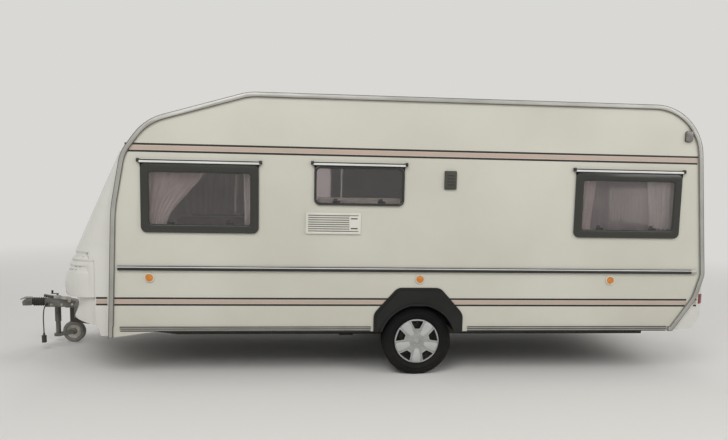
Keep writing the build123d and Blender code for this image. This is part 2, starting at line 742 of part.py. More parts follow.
for hatch_name, (hatch_a, length, width) in roof_hatches.items():
    with BuildPart() as hatch_lid:
        low_z = roof_z + hatch_curb + seat_gap
        pin_a = hatch_a + length / 2 + hatch_pin_reach
        pin_z = roof_z + hatch_curb + hatch_lug_radius
        outer = (length + 2 * hatch_flange, width + 2 * hatch_flange)
        low = (hatch_a - outer[0] / 2, -outer[1] / 2)
        extrude(plate(plan_plane(low_z), low, outer, 45), amount=hatch_lid_height, taper=18)
        inner = (outer[0] - 2 * hatch_shell, outer[1] - 2 * hatch_shell)
        inner_low = (hatch_a - inner[0] / 2, -inner[1] / 2)
        inner_face = plate(plan_plane(low_z), inner_low, inner, 42)
        extrude(inner_face, amount=hatch_lid_height - hatch_shell, taper=18, mode=Mode.SUBTRACT)
        with Locations(at(pin_a, 0, pin_z)):
            Cylinder(hatch_lug_radius, width * 0.42, rotation=(90, 0, 0))
        with Locations(at(pin_a, 0, pin_z)):
            web = (4 * hatch_lug_radius, width * 0.42, hatch_lug_radius)
            Box(*web, align=(Align.MAX, Align.CENTER, Align.MIN))
        with Locations(at(pin_a, 0, pin_z)):
            Cylinder(hatch_pin_radius + pin_gap, width * 0.5, rotation=(90, 0, 0), mode=Mode.SUBTRACT)
    pieces[f"hatch_lid_{hatch_name}"] = hatch_lid

# Chassis members: channels that bend inwards to the drawbar
member_mid_z = floor_z - member_height / 2
with BuildPart() as main_members:
    with BuildLine() as member_path:
        Polyline(
            at(member_rear_a, member_y, member_mid_z),
            at(member_bend_a, member_y, member_mid_z),
            at(member_tip_a, member_tip_y, member_mid_z),
        )
    with BuildSketch(cross_plane(member_rear_a)):
        with Locations((member_y, member_mid_z)):
            Rectangle(member_flange, member_height)
        with Locations((member_y - member_sheet, member_mid_z)):
            inside_size = (member_flange, member_height - 2 * member_sheet)
            Rectangle(*inside_size, mode=Mode.SUBTRACT)
    sweep(path=member_path.wires()[0], transition=Transition.RIGHT)
    with Locations(at(jack_pad_a, member_y, member_low_z)):
        Box(*jack_pad_size, align=(Align.CENTER, Align.CENTER, Align.MAX))
    mirror(about=Plane.XZ)
pieces["main_members"] = main_members

with BuildPart() as cross_members:
    for place in cross_member_places:
        with BuildSketch(cross_plane(place)):
            inner_width = 2 * (member_y + member_flange / 2 - member_sheet - seat_gap)
            with Locations((0, member_mid_z)):
                tall = member_height - 2 * member_sheet - 2 * seat_gap
                Rectangle(inner_width, tall)
                Rectangle(inner_width, tall - 2 * member_sheet, mode=Mode.SUBTRACT)
        extrude(amount=cross_member_width)
        with Locations(at(place, 0, member_mid_z)):
            web = (member_sheet, inner_width, tall)
            Box(*web, align=(Align.MIN, Align.CENTER, Align.CENTER))
pieces["cross_members"] = cross_members

# Axle tube under the members, with the trailing arms and stub axles
with BuildPart() as axle_tube:
    with Locations(at(axle_tube_a, 0, axle_tube_z)):
        Cylinder(axle_tube_radius, 2 * arm_y, rotation=(90, 0, 0))
    for side in (1, -1):
        with Locations(at(axle_tube_a, side * member_y, axle_tube_z)):
            saddle = (150, member_flange + 10, member_low_z - axle_tube_z)
            Box(*saddle, align=(Align.CENTER, Align.CENTER, Align.MIN))
pieces["axle_tube"] = axle_tube

with BuildPart() as trailing_arms:
    arm_rise, arm_run = wheel_z - axle_tube_z, axle_tube_a
    for side in (1, -1):
        arm_start = arm_y + arm_thickness if side > 0 else -arm_y
        with BuildSketch(side_plane(arm_start)):
            with Locations((axle_tube_a / 2, (axle_tube_z + wheel_z) / 2)):
                arm_angle = degrees(atan2(arm_rise, -arm_run))
                SlotCenterToCenter(hypot(arm_rise, arm_run), 2 * axle_tube_radius, rotation=arm_angle)
        extrude(amount=arm_thickness)
        spindle_end_y = wheel_y + 36 - seat_gap
        with Locations(at(0, side * (arm_y + spindle_end_y) / 2, wheel_z)):
            Cylinder(spindle_radius, spindle_end_y - arm_y, rotation=(90, 0, 0))
pieces["trailing_arms"] = trailing_arms

# Road wheels: steel rim on its drum and hub, tyre and five-spoke trim; points are distance outwards and radius
for side_name, side in (("left", 1), ("right", -1)):
    spin_axis = Axis(at(0, 0, wheel_z), (0, 1, 0))
    wheel_plane = Plane(origin=at(0, side * wheel_y, wheel_z), x_dir=(0, side, 0), z_dir=(side, 0, 0))
    drum_points = [
        (-drum_depth, spindle_radius + pin_gap),
        (-drum_depth, drum_radius),
        (-70, drum_radius),
        (-70, 85),
        (30, 85),
        (30, 56),
        (48, 56),
        (48, 0),
        (36, 0),
        (36, spindle_radius + pin_gap),
    ]
    flange_radius = bead_radius + 8
    seat_radius = bead_radius - seat_gap
    barrel_points = [
        (-rim_half, flange_radius),
        (4 - rim_half, flange_radius),
        (4 - rim_half, seat_radius),
        (-48, seat_radius),
        (-38, 160),
        (30, 160),
        (40, seat_radius),
        (rim_half - 4, seat_radius),
        (rim_half - 4, flange_radius),
        (rim_half, flange_radius),
        (rim_half, seat_radius - 5),
        (44, seat_radius - 5),
        (34, 154),
        (-42, 154),
        (-52, seat_radius - 5),
        (-rim_half, seat_radius - 5),
    ]
    disc_points = [(30, 55), (38, 55), (38, 120), (34, 156), (26, 156), (30, 120)]
    with BuildPart() as rim:
        revolve(outline_face(wheel_plane, barrel_points, [0] * len(barrel_points)).faces(), axis=spin_axis)
        revolve(outline_face(wheel_plane, disc_points, [0] * len(disc_points)).faces(), axis=spin_axis)
        revolve(outline_face(wheel_plane, drum_points, [0] * len(drum_points)).faces(), axis=spin_axis)
    pieces[f"rim_{side_name}"] = rim

    tyre_points = [
        (-68, bead_radius),
        (-tyre_half, 228),
        (-tyre_half, 262),
        (-78, tyre_radius),
        (78, tyre_radius),
        (tyre_half, 262),
        (tyre_half, 228),
        (68, bead_radius),
    ]
    with BuildPart() as tyre:
        revolve(outline_face(wheel_plane, tyre_points, [4, 30, 30, 22, 22, 30, 30, 4]).faces(), axis=spin_axis)
    pieces[f"tyre_{side_name}"] = tyre

    trim_points = [
        (rim_half + seat_gap, 184),
        (rim_half + seat_gap, 190),
        (84, trim_radius),
        (88, trim_radius),
        (96, 160),
        (100, 110),
        (95, 62),
        (98, 45),
        (98, 0),
        (92, 0),
        (92, 42),
        (89, 62),
        (94, 110),
        (90, 158),
        (85, 184),
    ]
    with BuildPart() as wheel_trim:
        revolve(outline_face(wheel_plane, trim_points, [0] * len(trim_points)).faces(), axis=spin_axis)
        trim_plane = Plane(origin=at(0, side * (wheel_y + 60), wheel_z), x_dir=(1, 0, 0), z_dir=(0, side, 0))
        first_slot = 90 * side
        with BuildSketch(trim_plane) as slots:
            with PolarLocations(0, 5, start_angle=-first_slot):
                Polygon((114, -22), (181, -60), (184, 0), (181, 60), (114, 22), align=None)
            fillet(slots.vertices(), 8)
        extrude(amount=60, mode=Mode.SUBTRACT)
    pieces[f"wheel_trim_{side_name}"] = wheel_trim

# Drawbar cover between the nose and the overrun housing, drawn down over the members: a, height
member_slope = (member_y - member_tip_y) / (member_tip_a - member_bend_a)
cover_reach = 62
cover_rows = []
for place, height in ((2990, 58), (3180, 66), (housing_rear_a - 4, 66)):
    cover_rows.append((place, member_tip_y + (member_tip_a - place) * member_slope + cover_reach, height))
cover_low_z = 318
cover_sheet = 6
cover_ledge = 50
cover_top_share = 0.72
with BuildPart() as drawbar_cover:
    for shrink, ledge, mode in ((0, 0, Mode.ADD), (cover_sheet, cover_ledge, Mode.SUBTRACT)):
        cover_faces = []
        for place, half, height in cover_rows:
            low_z = cover_low_z if mode == Mode.ADD else floor_z + seat_gap - 1
            cover_points = [
                (-half + shrink + ledge, low_z),
                (half - shrink - ledge, low_z),
                (half - shrink - ledge, floor_z + 0.5 * height - shrink),
                (half * cover_top_share - shrink, floor_z + height - shrink),
                (-half * cover_top_share + shrink, floor_z + height - shrink),
                (-half + shrink + ledge, floor_z + 0.5 * height - shrink),
            ]
            cover_faces.append(outline_face(cross_plane(place), cover_points, [0, 0, 12, 20, 20, 12]))
        loft(cover_faces, ruled=True, mode=mode)
    skirt_faces = []
    for place, half, height in cover_rows:
        skirt_points = [
            (cover_sheet - half, cover_low_z - 1),
            (half - cover_sheet, cover_low_z - 1),
            (half - cover_sheet, floor_z + seat_gap),
            (cover_sheet - half, floor_z + seat_gap),
        ]
        skirt_faces.append(outline_face(cross_plane(place), skirt_points, [0, 0, 0, 0]))
    loft(skirt_faces, ruled=True, mode=Mode.SUBTRACT)
pieces["drawbar_cover"] = drawbar_cover

# Overrun housing, bellows, coupling head and handle, hand brake lever
housing_low_z = floor_z + seat_gap
housing_points = [
    (housing_rear_a, housing_low_z),
    (housing_front_a, housing_low_z),
    (housing_front_a, hitch_z + 42),
    (housing_front_a - 80, hitch_z + 42),
    (housing_rear_a + 60, hitch_z + 24),
    (housing_rear_a, hitch_z + 10),
]
with BuildPart() as overrun_housing:
    extrude(outline_face(side_plane(housing_half), housing_points, [0, 0, 14, 40, 20, 10]), amount=2 * housing_half)
    with Locations(at(housing_rear_a + 60, 0, housing_low_z)):
        Box(90, 2 * (member_tip_y + 15), 8, align=(Align.CENTER, Align.CENTER, Align.MIN))
    with Locations(at(jockey_a, 0, hitch_z)):
        clamp_reach = -jockey_y - jockey_tube_radius - seat_gap
        Box(70, clamp_reach, 50, align=(Align.CENTER, Align.MAX, Align.CENTER))
    with Locations(at(housing_front_a, 0, hitch_z)):
        bore_depth = 60
        shaft_bore = shaft_radius + pin_gap
        Cylinder(
            shaft_bore,
            bore_depth,
            rotation=(0, -90, 0),
            align=(Align.CENTER, Align.CENTER, Align.MIN),
            mode=Mode.SUBTRACT,
        )
pieces["overrun_housing"] = overrun_housing

fold_count = 6
with BuildPart() as bellows:
    fold_length = (bellows_front_a - housing_front_a - 2 * seat_gap) / fold_count
    fold_start = housing_front_a + seat_gap
    fold_points = [(fold_start, bellows_root)]
    for fold in range(fold_count):
        fold_points.append((fold_start + (fold + 0.5) * fold_length, bellows_outer))
        fold_points.append((fold_start + (fold + 1) * fold_length, bellows_root))
    fold_points.append((fold_start + fold_count * fold_length, shaft_radius + pin_gap))
    fold_points.append((fold_start, shaft_radius + pin_gap))
    fold_plane = Plane(origin=at(0, 0, hitch_z), x_dir=(1, 0, 0), z_dir=(0, -1, 0))
    revolve(
        outline_face(fold_plane, fold_points, [0] * len(fold_points)).faces(),
        axis=Axis(at(0, 0, hitch_z), (1, 0, 0)),
    )
pieces["bellows"] = bellows

head_points = [
    (bellows_front_a, hitch_z - 30),
    (ball_a - 30, ball_mouth_z),
    (ball_a + 34, ball_mouth_z),
    (ball_a + 40, hitch_z + 4),
    (ball_a + 14, hitch_z + 30),
    (bellows_front_a, hitch_z + 34),
]
with BuildPart() as coupling_head:
    extrude(outline_face(side_plane(40), head_points, [4, 8, 8, 16, 18, 4]), amount=80)
    with Locations(at(bellows_front_a, 0, hitch_z)):
        shaft_length = bellows_front_a - housing_front_a + 50
        Cylinder(
            shaft_radius,
            shaft_length,
            rotation=(0, -90, 0),
            align=(Align.CENTER, Align.CENTER, Align.MIN),
        )
    with Locations(at(ball_a, 0, ball_mouth_z)):
        Cylinder(
            ball_radius,
            ball_mouth_length,
            align=(Align.CENTER, Align.CENTER, Align.MIN),
            mode=Mode.SUBTRACT,
        )
    with Locations(at(ball_a, 0, ball_mouth_z + ball_mouth_length)):
        Sphere(ball_radius, mode=Mode.SUBTRACT)
pieces["coupling_head"] = coupling_head

handle_points = [
    (bellows_front_a + 8, hitch_z + 34 + seat_gap),
    (ball_a - 12, hitch_z + 33 + seat_gap),
    (ball_a + 20, hitch_z + 32),
    (hitch_reach, hitch_z + 16),
    (hitch_reach - 2, hitch_z + 30),
    (ball_a + 20, hitch_z + 50),
    (bellows_front_a + 8, hitch_z + 50),
]
with BuildPart() as coupling_handle:
    extrude(outline_face(side_plane(18), handle_points, [2, 2, 6, 5, 5, 12, 6]), amount=36)
pieces["coupling_handle"] = coupling_handle

lever_points = [(3300, 486), (3340, 478), (3560, 512), (3558, 534), (3330, 512)]
with BuildPart() as hand_brake_lever:
    extrude(outline_face(side_plane(housing_half + 16), lever_points, [8, 8, 9, 9, 8]), amount=15.7)
    with Locations(at(3322, housing_half, 470)):
        Cylinder(16, 16, rotation=(-90, 0, 0), align=(Align.CENTER, Align.CENTER, Align.MIN))
    with Locations(at(3322, housing_half, 470)):
        Box(28, 16, 40, align=(Align.CENTER, Align.MIN, Align.MIN))
pieces["hand_brake_lever"] = hand_brake_lever

# Jockey wheel: clamp tube, castor fork on its stem, and the wheel
jockey_wheel_a = jockey_a - jockey_trail
with BuildPart() as jockey_tube:
    with Locations(at(jockey_a, jockey_y, 215)):
        Cylinder(jockey_tube_radius, 265, align=(Align.CENTER, Align.CENTER, Align.MIN))
        Cylinder(jockey_bore, 250, align=(Align.CENTER, Align.CENTER, Align.MIN), mode=Mode.SUBTRACT)
    with Locations(at(jockey_a, jockey_y, 480)):
        Cylinder(10, 22, align=(Align.CENTER, Align.CENTER, Align.MIN))
    with Locations(at(jockey_a + 25, jockey_y, 498)):
        Box(70, 16, 8, align=(Align.CENTER, Align.CENTER, Align.MIN))
pieces["jockey_tube"] = jockey_tube

fork_thickness = 6
fork_inside = jockey_half + 6
with BuildPart() as jockey_fork:
    with Locations(at(jockey_a, jockey_y, 62)):
        stem_length = 215 + 250 - 62 - seat_gap
        Cylinder(jockey_stem_radius, stem_length, align=(Align.CENTER, Align.CENTER, Align.MIN))
        Cylinder(fork_inside + fork_thickness, 26, align=(Align.CENTER, Align.CENTER, Align.MIN))
    for side in (1, -1):
        arm_points = [
            (jockey_a + 4, 62),
            (jockey_a + 4, 88),
            (jockey_wheel_a + 6, jockey_radius + 20),
            (jockey_wheel_a - 20, jockey_radius + 4),
            (jockey_wheel_a - 12, jockey_radius - 20),
        ]
        arm_start_y = jockey_y + (fork_inside + fork_thickness if side > 0 else -fork_inside)
        extrude(outline_face(side_plane(arm_start_y), arm_points, [0, 0, 14, 14, 14]), amount=fork_thickness)
    with Locations(at(jockey_wheel_a, jockey_y, jockey_radius)):
        Cylinder(8, 2 * (fork_inside + fork_thickness + 8), rotation=(90, 0, 0))
pieces["jockey_fork"] = jockey_fork

jockey_points = [
    (-34, 8 + pin_gap),
    (34, 8 + pin_gap),
    (34, 22),
    (16, 30),
    (16, 70),
    (jockey_half, 78),
    (jockey_half, 98),
    (20, jockey_radius),
    (-20, jockey_radius),
    (-jockey_half, 98),
    (-jockey_half, 78),
    (-16, 70),
    (-16, 30),
    (-34, 22),
]
with BuildPart() as jockey_wheel:
    jockey_plane = Plane(origin=at(jockey_wheel_a, jockey_y, jockey_radius), x_dir=(0, 1, 0), z_dir=(1, 0, 0))
    revolve(
        outline_face(jockey_plane, jockey_points, [0] * 5 + [8, 10, 10, 10, 10, 8] + [0] * 3).faces(),
        axis=Axis(at(jockey_wheel_a, jockey_y, jockey_radius), (0, 1, 0)),
    )
pieces["jockey_wheel"] = jockey_wheel

# Corner steadies: brackets with pins under the floor, and a channel leg with a foot at each corner
with BuildPart() as steady_brackets:
    for name, pivot_a, direction, side in steady_places:
        for ear in (1, -1):
            with Locations(at(pivot_a, side * steady_y + ear * (steady_half + 8), floor_z)):
                Box(90, 6, 85, align=(Align.CENTER, Align.CENTER, Align.MAX))
        with Locations(at(pivot_a, side * steady_y, floor_z)):
            Box(90, 2 * (steady_half + 11), 6, align=(Align.CENTER, Align.CENTER, Align.MAX))
        with Locations(at(pivot_a, side * steady_y, steady_z)):
            Cylinder(steady_pin_radius, 2 * (steady_half + 14), rotation=(90, 0, 0))
pieces["steady_brackets"] = steady_brackets

for name, pivot_a, direction, side in steady_places:
    foot_a = pivot_a + direction * steady_length
    leg_points = [
        (pivot_a - direction * 20, steady_z - 20),
        (foot_a, steady_z - 20),
        (foot_a, steady_z + 12),
        (pivot_a, steady_z + 26),
        (pivot_a - direction * 20, steady_z + 16),
    ]
    channel_points = [
        (pivot_a - direction * 60, steady_z - 15),
        (foot_a + direction * 60, steady_z - 15),
        (foot_a + direction * 60, steady_z + 60),
        (pivot_a - direction * 60, steady_z + 60),
    ]
    with BuildPart() as steady_leg:
        leg_y = side * steady_y + steady_half
        extrude(outline_face(side_plane(leg_y), leg_points, [12, 4, 4, 16, 12]), amount=2 * steady_half)
        extrude(
            outline_face(side_plane(leg_y - 4), channel_points, [0, 0, 0, 0]),
            amount=2 * steady_half - 8,
            mode=Mode.SUBTRACT,
        )
        with Locations(at(pivot_a, side * steady_y, steady_z)):
            bore = steady_pin_radius + pin_gap
            Cylinder(bore, 3 * steady_half, rotation=(90, 0, 0), mode=Mode.SUBTRACT)
        with Locations(at(foot_a, side * steady_y, steady_z - 4)):
            Box(8, 110, 60)
    pieces[f"steady_leg_{name}"] = steady_leg

# Electrical lead: gland on the housing, hanging tube and plug
def lead_point(row):
    """Point of the lead's route in space."""
    distance, z = row
    return at(lead_exit[0] + lead_heading[0] * distance, lead_exit[1] + lead_heading[1] * distance, z)


route = [lead_point(row) for row in lead_route]
radii = []
for before, here, after in zip(route, route[1:], route[2:]):
    run_in = Vector(*here) - Vector(*before)
    run_out = Vector(*after) - Vector(*here)
    half_turn = radians(run_in.get_angle(run_out) / 2)
    radii.append(lead_fillet_share * min(run_in.length, run_out.length) / tan(half_turn))

with BuildPart() as lead:
    with BuildLine() as lead_path:
        FilletPolyline(route, radius=radii)
    start_heading = lead_path.wires()[0] % 0
    with BuildSketch(Plane(origin=route[0], z_dir=start_heading)):
        Circle(lead_radius)
    sweep(path=lead_path.wires()[0])
pieces["lead"] = lead

with BuildPart() as cable_gland:
    gland_plane = Plane(origin=route[0], z_dir=start_heading)
    gland_length = 60
    with BuildSketch(gland_plane):
        Circle(lead_radius + 2)
    with BuildSketch(gland_plane.offset(-gland_length)):
        Circle(13)
    loft()
    with Locations(at(housing_front_a, housing_half, hitch_z)):
        Box(200, 40, 200, align=(Align.MAX, Align.MAX, Align.CENTER), mode=Mode.SUBTRACT)
pieces["cable_gland"] = cable_gland

with BuildPart() as lead_plug:
    plug_plane = Plane(origin=route[-1], z_dir=lead_path.wires()[0] % 1)
    with BuildSketch(plug_plane):
        Circle(9)
    extrude(amount=plug_neck)
    with BuildSketch(plug_plane.offset(plug_neck)):
        Circle(22)
    extrude(amount=plug_length - plug_neck)
    with BuildSketch(plug_plane.offset(plug_length)):
        Circle(17)
    extrude(amount=-12, mode=Mode.SUBTRACT)
pieces["lead_plug"] = lead_plug

# Furniture carcasses, open underneath, and curtain rails: low a, high a, low y, high y, low z, high z
curtain_top_z = panel_split_z - 25
curtain_low_z = window_low_z + 35
box_top_z = wheel_z + arch_radius + arch_wall + seat_gap
carcass_half = inner_half - 5
aisle_half = half_width - 655
kitchen_y = half_width - 575
bench_z = 850
bed_z = 800
bed_rear_a = cabin_rear_a + 105
furniture_rows = [
    (1480, 2480, aisle_half, carcass_half, floor_top_z, bench_z),
    (1480, 2480, -carcass_half, -aisle_half, floor_top_z, bench_z),
    (420, 1335, kitchen_y, carcass_half, floor_top_z, small_window_low_z - 170),
    (-470, 60, kitchen_y, carcass_half, box_top_z, roof_z - 275),
    (bed_rear_a, -900, -carcass_half, carcass_half, floor_top_z, bed_z),
]
board = 15
with BuildPart() as furniture:
    for low_a, high_a, low_y, high_y, low_z, high_z in furniture_rows:
        with Locations(at((low_a + high_a) / 2, (low_y + high_y) / 2, low_z)):
            size = (high_a - low_a, high_y - low_y, high_z - low_z)
            Box(*size, align=(Align.CENTER, Align.CENTER, Align.MIN))
            inside = (size[0] - 2 * board, size[1] - 2 * board, size[2] - board)
            Box(*inside, align=(Align.CENTER, Align.CENTER, Align.MIN), mode=Mode.SUBTRACT)
    for side in (1, -1):
        for low_a, low_z, length, height, border, both in side_windows:
            if both:
                with Locations(at(low_a + length / 2, side * inner_half, curtain_top_z)):
                    depth_align = Align.MAX if side > 0 else Align.MIN
                    Box(length + 120, 40, 20, align=(Align.CENTER, depth_align, Align.MIN))
pieces["furniture"] = furniture

# Cushions on the benches and the bed: low a, high a, low y, high y, low z, thickness
cushion_half = inner_half - 15
backrest = 110
backrest_y = cushion_half - backrest
seat_half = backrest_y - 5
backrest_height = curtain_low_z - bench_z - 15
cushion_rows = [
    (1490, 2470, aisle_half + 10, seat_half, bench_z, 120),
    (1490, 2470, -seat_half, -aisle_half - 10, bench_z, 120),
    (1490, 2470, backrest_y, cushion_half, bench_z, backrest_height),
    (1490, 2470, -cushion_half, -backrest_y, bench_z, backrest_height),
    (bed_rear_a + 20, -910, -cushion_half, cushion_half, bed_z, 130),
]
with BuildPart() as cushions:
    for low_a, high_a, low_y, high_y, low_z, thick in cushion_rows:
        with Locations(at((low_a + high_a) / 2, (low_y + high_y) / 2, low_z + seat_gap)):
            Box(high_a - low_a, high_y - low_y, thick, align=(Align.CENTER, Align.CENTER, Align.MIN))
pieces["cushions"] = cushions

# Curtains inside the bordered windows, under their rails
with BuildPart() as curtains:
    for side in (1, -1):
        for low_a, low_z, length, height, border, both in side_windows:
            if both:
                with Locations(at(low_a + length / 2, side * (inner_half - 22), curtain_top_z - seat_gap)):
                    drop = curtain_top_z - curtain_low_z
                    Box(length + 80, 26, drop, align=(Align.CENTER, Align.CENTER, Align.MAX))
pieces["curtains"] = curtains

for name, piece in pieces.items():
    piece.part.label = name
    export_step(piece.part, f"parts/{name}.step")
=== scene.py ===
"""Studio scene of a single-axle travel caravan: its looks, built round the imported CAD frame."""

import json
import logging
import math
from dataclasses import dataclass
from enum import Enum
from typing import Any, Iterable, Sequence

import bmesh
import bpy
from mathutils import Matrix, Vector

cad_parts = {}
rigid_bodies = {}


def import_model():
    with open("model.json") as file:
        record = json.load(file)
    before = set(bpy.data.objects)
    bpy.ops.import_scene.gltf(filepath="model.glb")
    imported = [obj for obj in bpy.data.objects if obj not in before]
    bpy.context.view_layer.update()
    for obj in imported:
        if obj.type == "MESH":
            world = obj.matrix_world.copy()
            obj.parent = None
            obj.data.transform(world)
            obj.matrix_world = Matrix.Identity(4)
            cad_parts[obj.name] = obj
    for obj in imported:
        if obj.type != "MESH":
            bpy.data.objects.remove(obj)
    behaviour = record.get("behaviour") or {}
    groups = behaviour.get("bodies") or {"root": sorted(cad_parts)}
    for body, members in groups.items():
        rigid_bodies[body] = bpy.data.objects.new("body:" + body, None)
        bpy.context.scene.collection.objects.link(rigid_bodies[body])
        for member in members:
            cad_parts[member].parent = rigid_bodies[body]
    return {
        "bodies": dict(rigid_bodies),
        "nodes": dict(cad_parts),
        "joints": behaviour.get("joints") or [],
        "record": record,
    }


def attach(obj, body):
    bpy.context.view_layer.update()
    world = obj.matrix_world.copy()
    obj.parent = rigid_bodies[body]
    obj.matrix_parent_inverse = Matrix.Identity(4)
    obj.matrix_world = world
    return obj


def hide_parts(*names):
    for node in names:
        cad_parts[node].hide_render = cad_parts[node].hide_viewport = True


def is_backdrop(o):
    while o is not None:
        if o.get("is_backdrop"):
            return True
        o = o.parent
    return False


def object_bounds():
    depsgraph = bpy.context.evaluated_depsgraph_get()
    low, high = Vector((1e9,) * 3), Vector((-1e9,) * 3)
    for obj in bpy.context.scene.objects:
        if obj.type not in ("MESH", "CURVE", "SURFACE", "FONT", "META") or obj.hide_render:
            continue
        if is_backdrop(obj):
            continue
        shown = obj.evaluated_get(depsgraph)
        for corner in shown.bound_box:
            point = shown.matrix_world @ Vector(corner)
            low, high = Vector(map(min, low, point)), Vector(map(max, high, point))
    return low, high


LOG = logging.getLogger("caravan")
AXLE_X_MM = -576.5
ROOT = "caravan"
WALL_FACE = 1135.0
SIDES = (("left", 1), ("right", -1))
# Edges sharper than this show as edges, and faces flatter than this to each other are merged
SHARP_ANGLE = math.radians(32)
FLAT_ANGLE = math.radians(0.5)
# Distances in metres under which points of a copied or of a new mesh are one
SEAM_M = 2e-5
POINT_M = 1e-6
# Depth in metres of the outermost layer of a mesh
SKIN_M = 1e-4
# Steps of a plate's rounded corners
CORNER_STEPS = 6
# Share of the noise over which a finish goes from one tone to the other, and its spread of gloss
TONE_SPAN = (0.36, 0.64)
GLOSS_SPAN = (-0.05, 0.07)
BUMP_STRENGTH = 0.6


def place(a: float, y: float, z: float) -> Vector:
    """Point of the frame from millimetres forward of the axle, to the left and up.

    Args:
        a: Distance forward of the axle.
        y: Distance to the left of the middle.
        z: Height above the ground.

    Returns:
        The point in metres.
    """
    return Vector(((a + AXLE_X_MM) / 1000, y / 1000, z / 1000))


# Axes of the frame with their zero at the axle
FRAME = Matrix.Translation(place(0, 0, 0))


def linear(code: str) -> tuple[float, float, float, float]:
    """Turns an sRGB hex colour into linear values.

    Args:
        code: Colour such as "#CFCBBD".

    Returns:
        Red, green, blue and an alpha of one.
    """
    channels = [int(code[i : i + 2], 16) / 255 for i in (1, 3, 5)]
    values = [c / 12.92 if c <= 0.04045 else ((c + 0.055) / 1.055) ** 2.4 for c in channels]
    return (values[0], values[1], values[2], 1.0)


def add_node(
    tree: bpy.types.NodeTree,
    kind: str,
    settings: dict | None = None,
    links: dict | None = None,
) -> bpy.types.Node:
    """Adds one shader node with its settings and links.

    Args:
        tree: Node tree that takes the node.
        kind: Node type without its "ShaderNode" start.
        settings: Attribute names or input names with their values.
        links: Input names with the output socket that feeds each.

    Returns:
        The new node.
    """
    node = tree.nodes.new("ShaderNode" + kind)
    for key, value in (settings or {}).items():
        if isinstance(key, str) and hasattr(node, key):
            setattr(node, key, value)
        else:
            node.inputs[key].default_value = value
    for key, socket in (links or {}).items():
        tree.links.new(socket, node.inputs[key])
    return node


class Grain(Enum):
    """How the fine relief of a finish runs."""

    MOTTLED = "cells with no direction"
    BRUSHED = "hair lines along the vehicle"
    WOVEN = "crossing threads"
    WOOD = "long grain along the vehicle"
    SPANGLE = "zinc crystals"


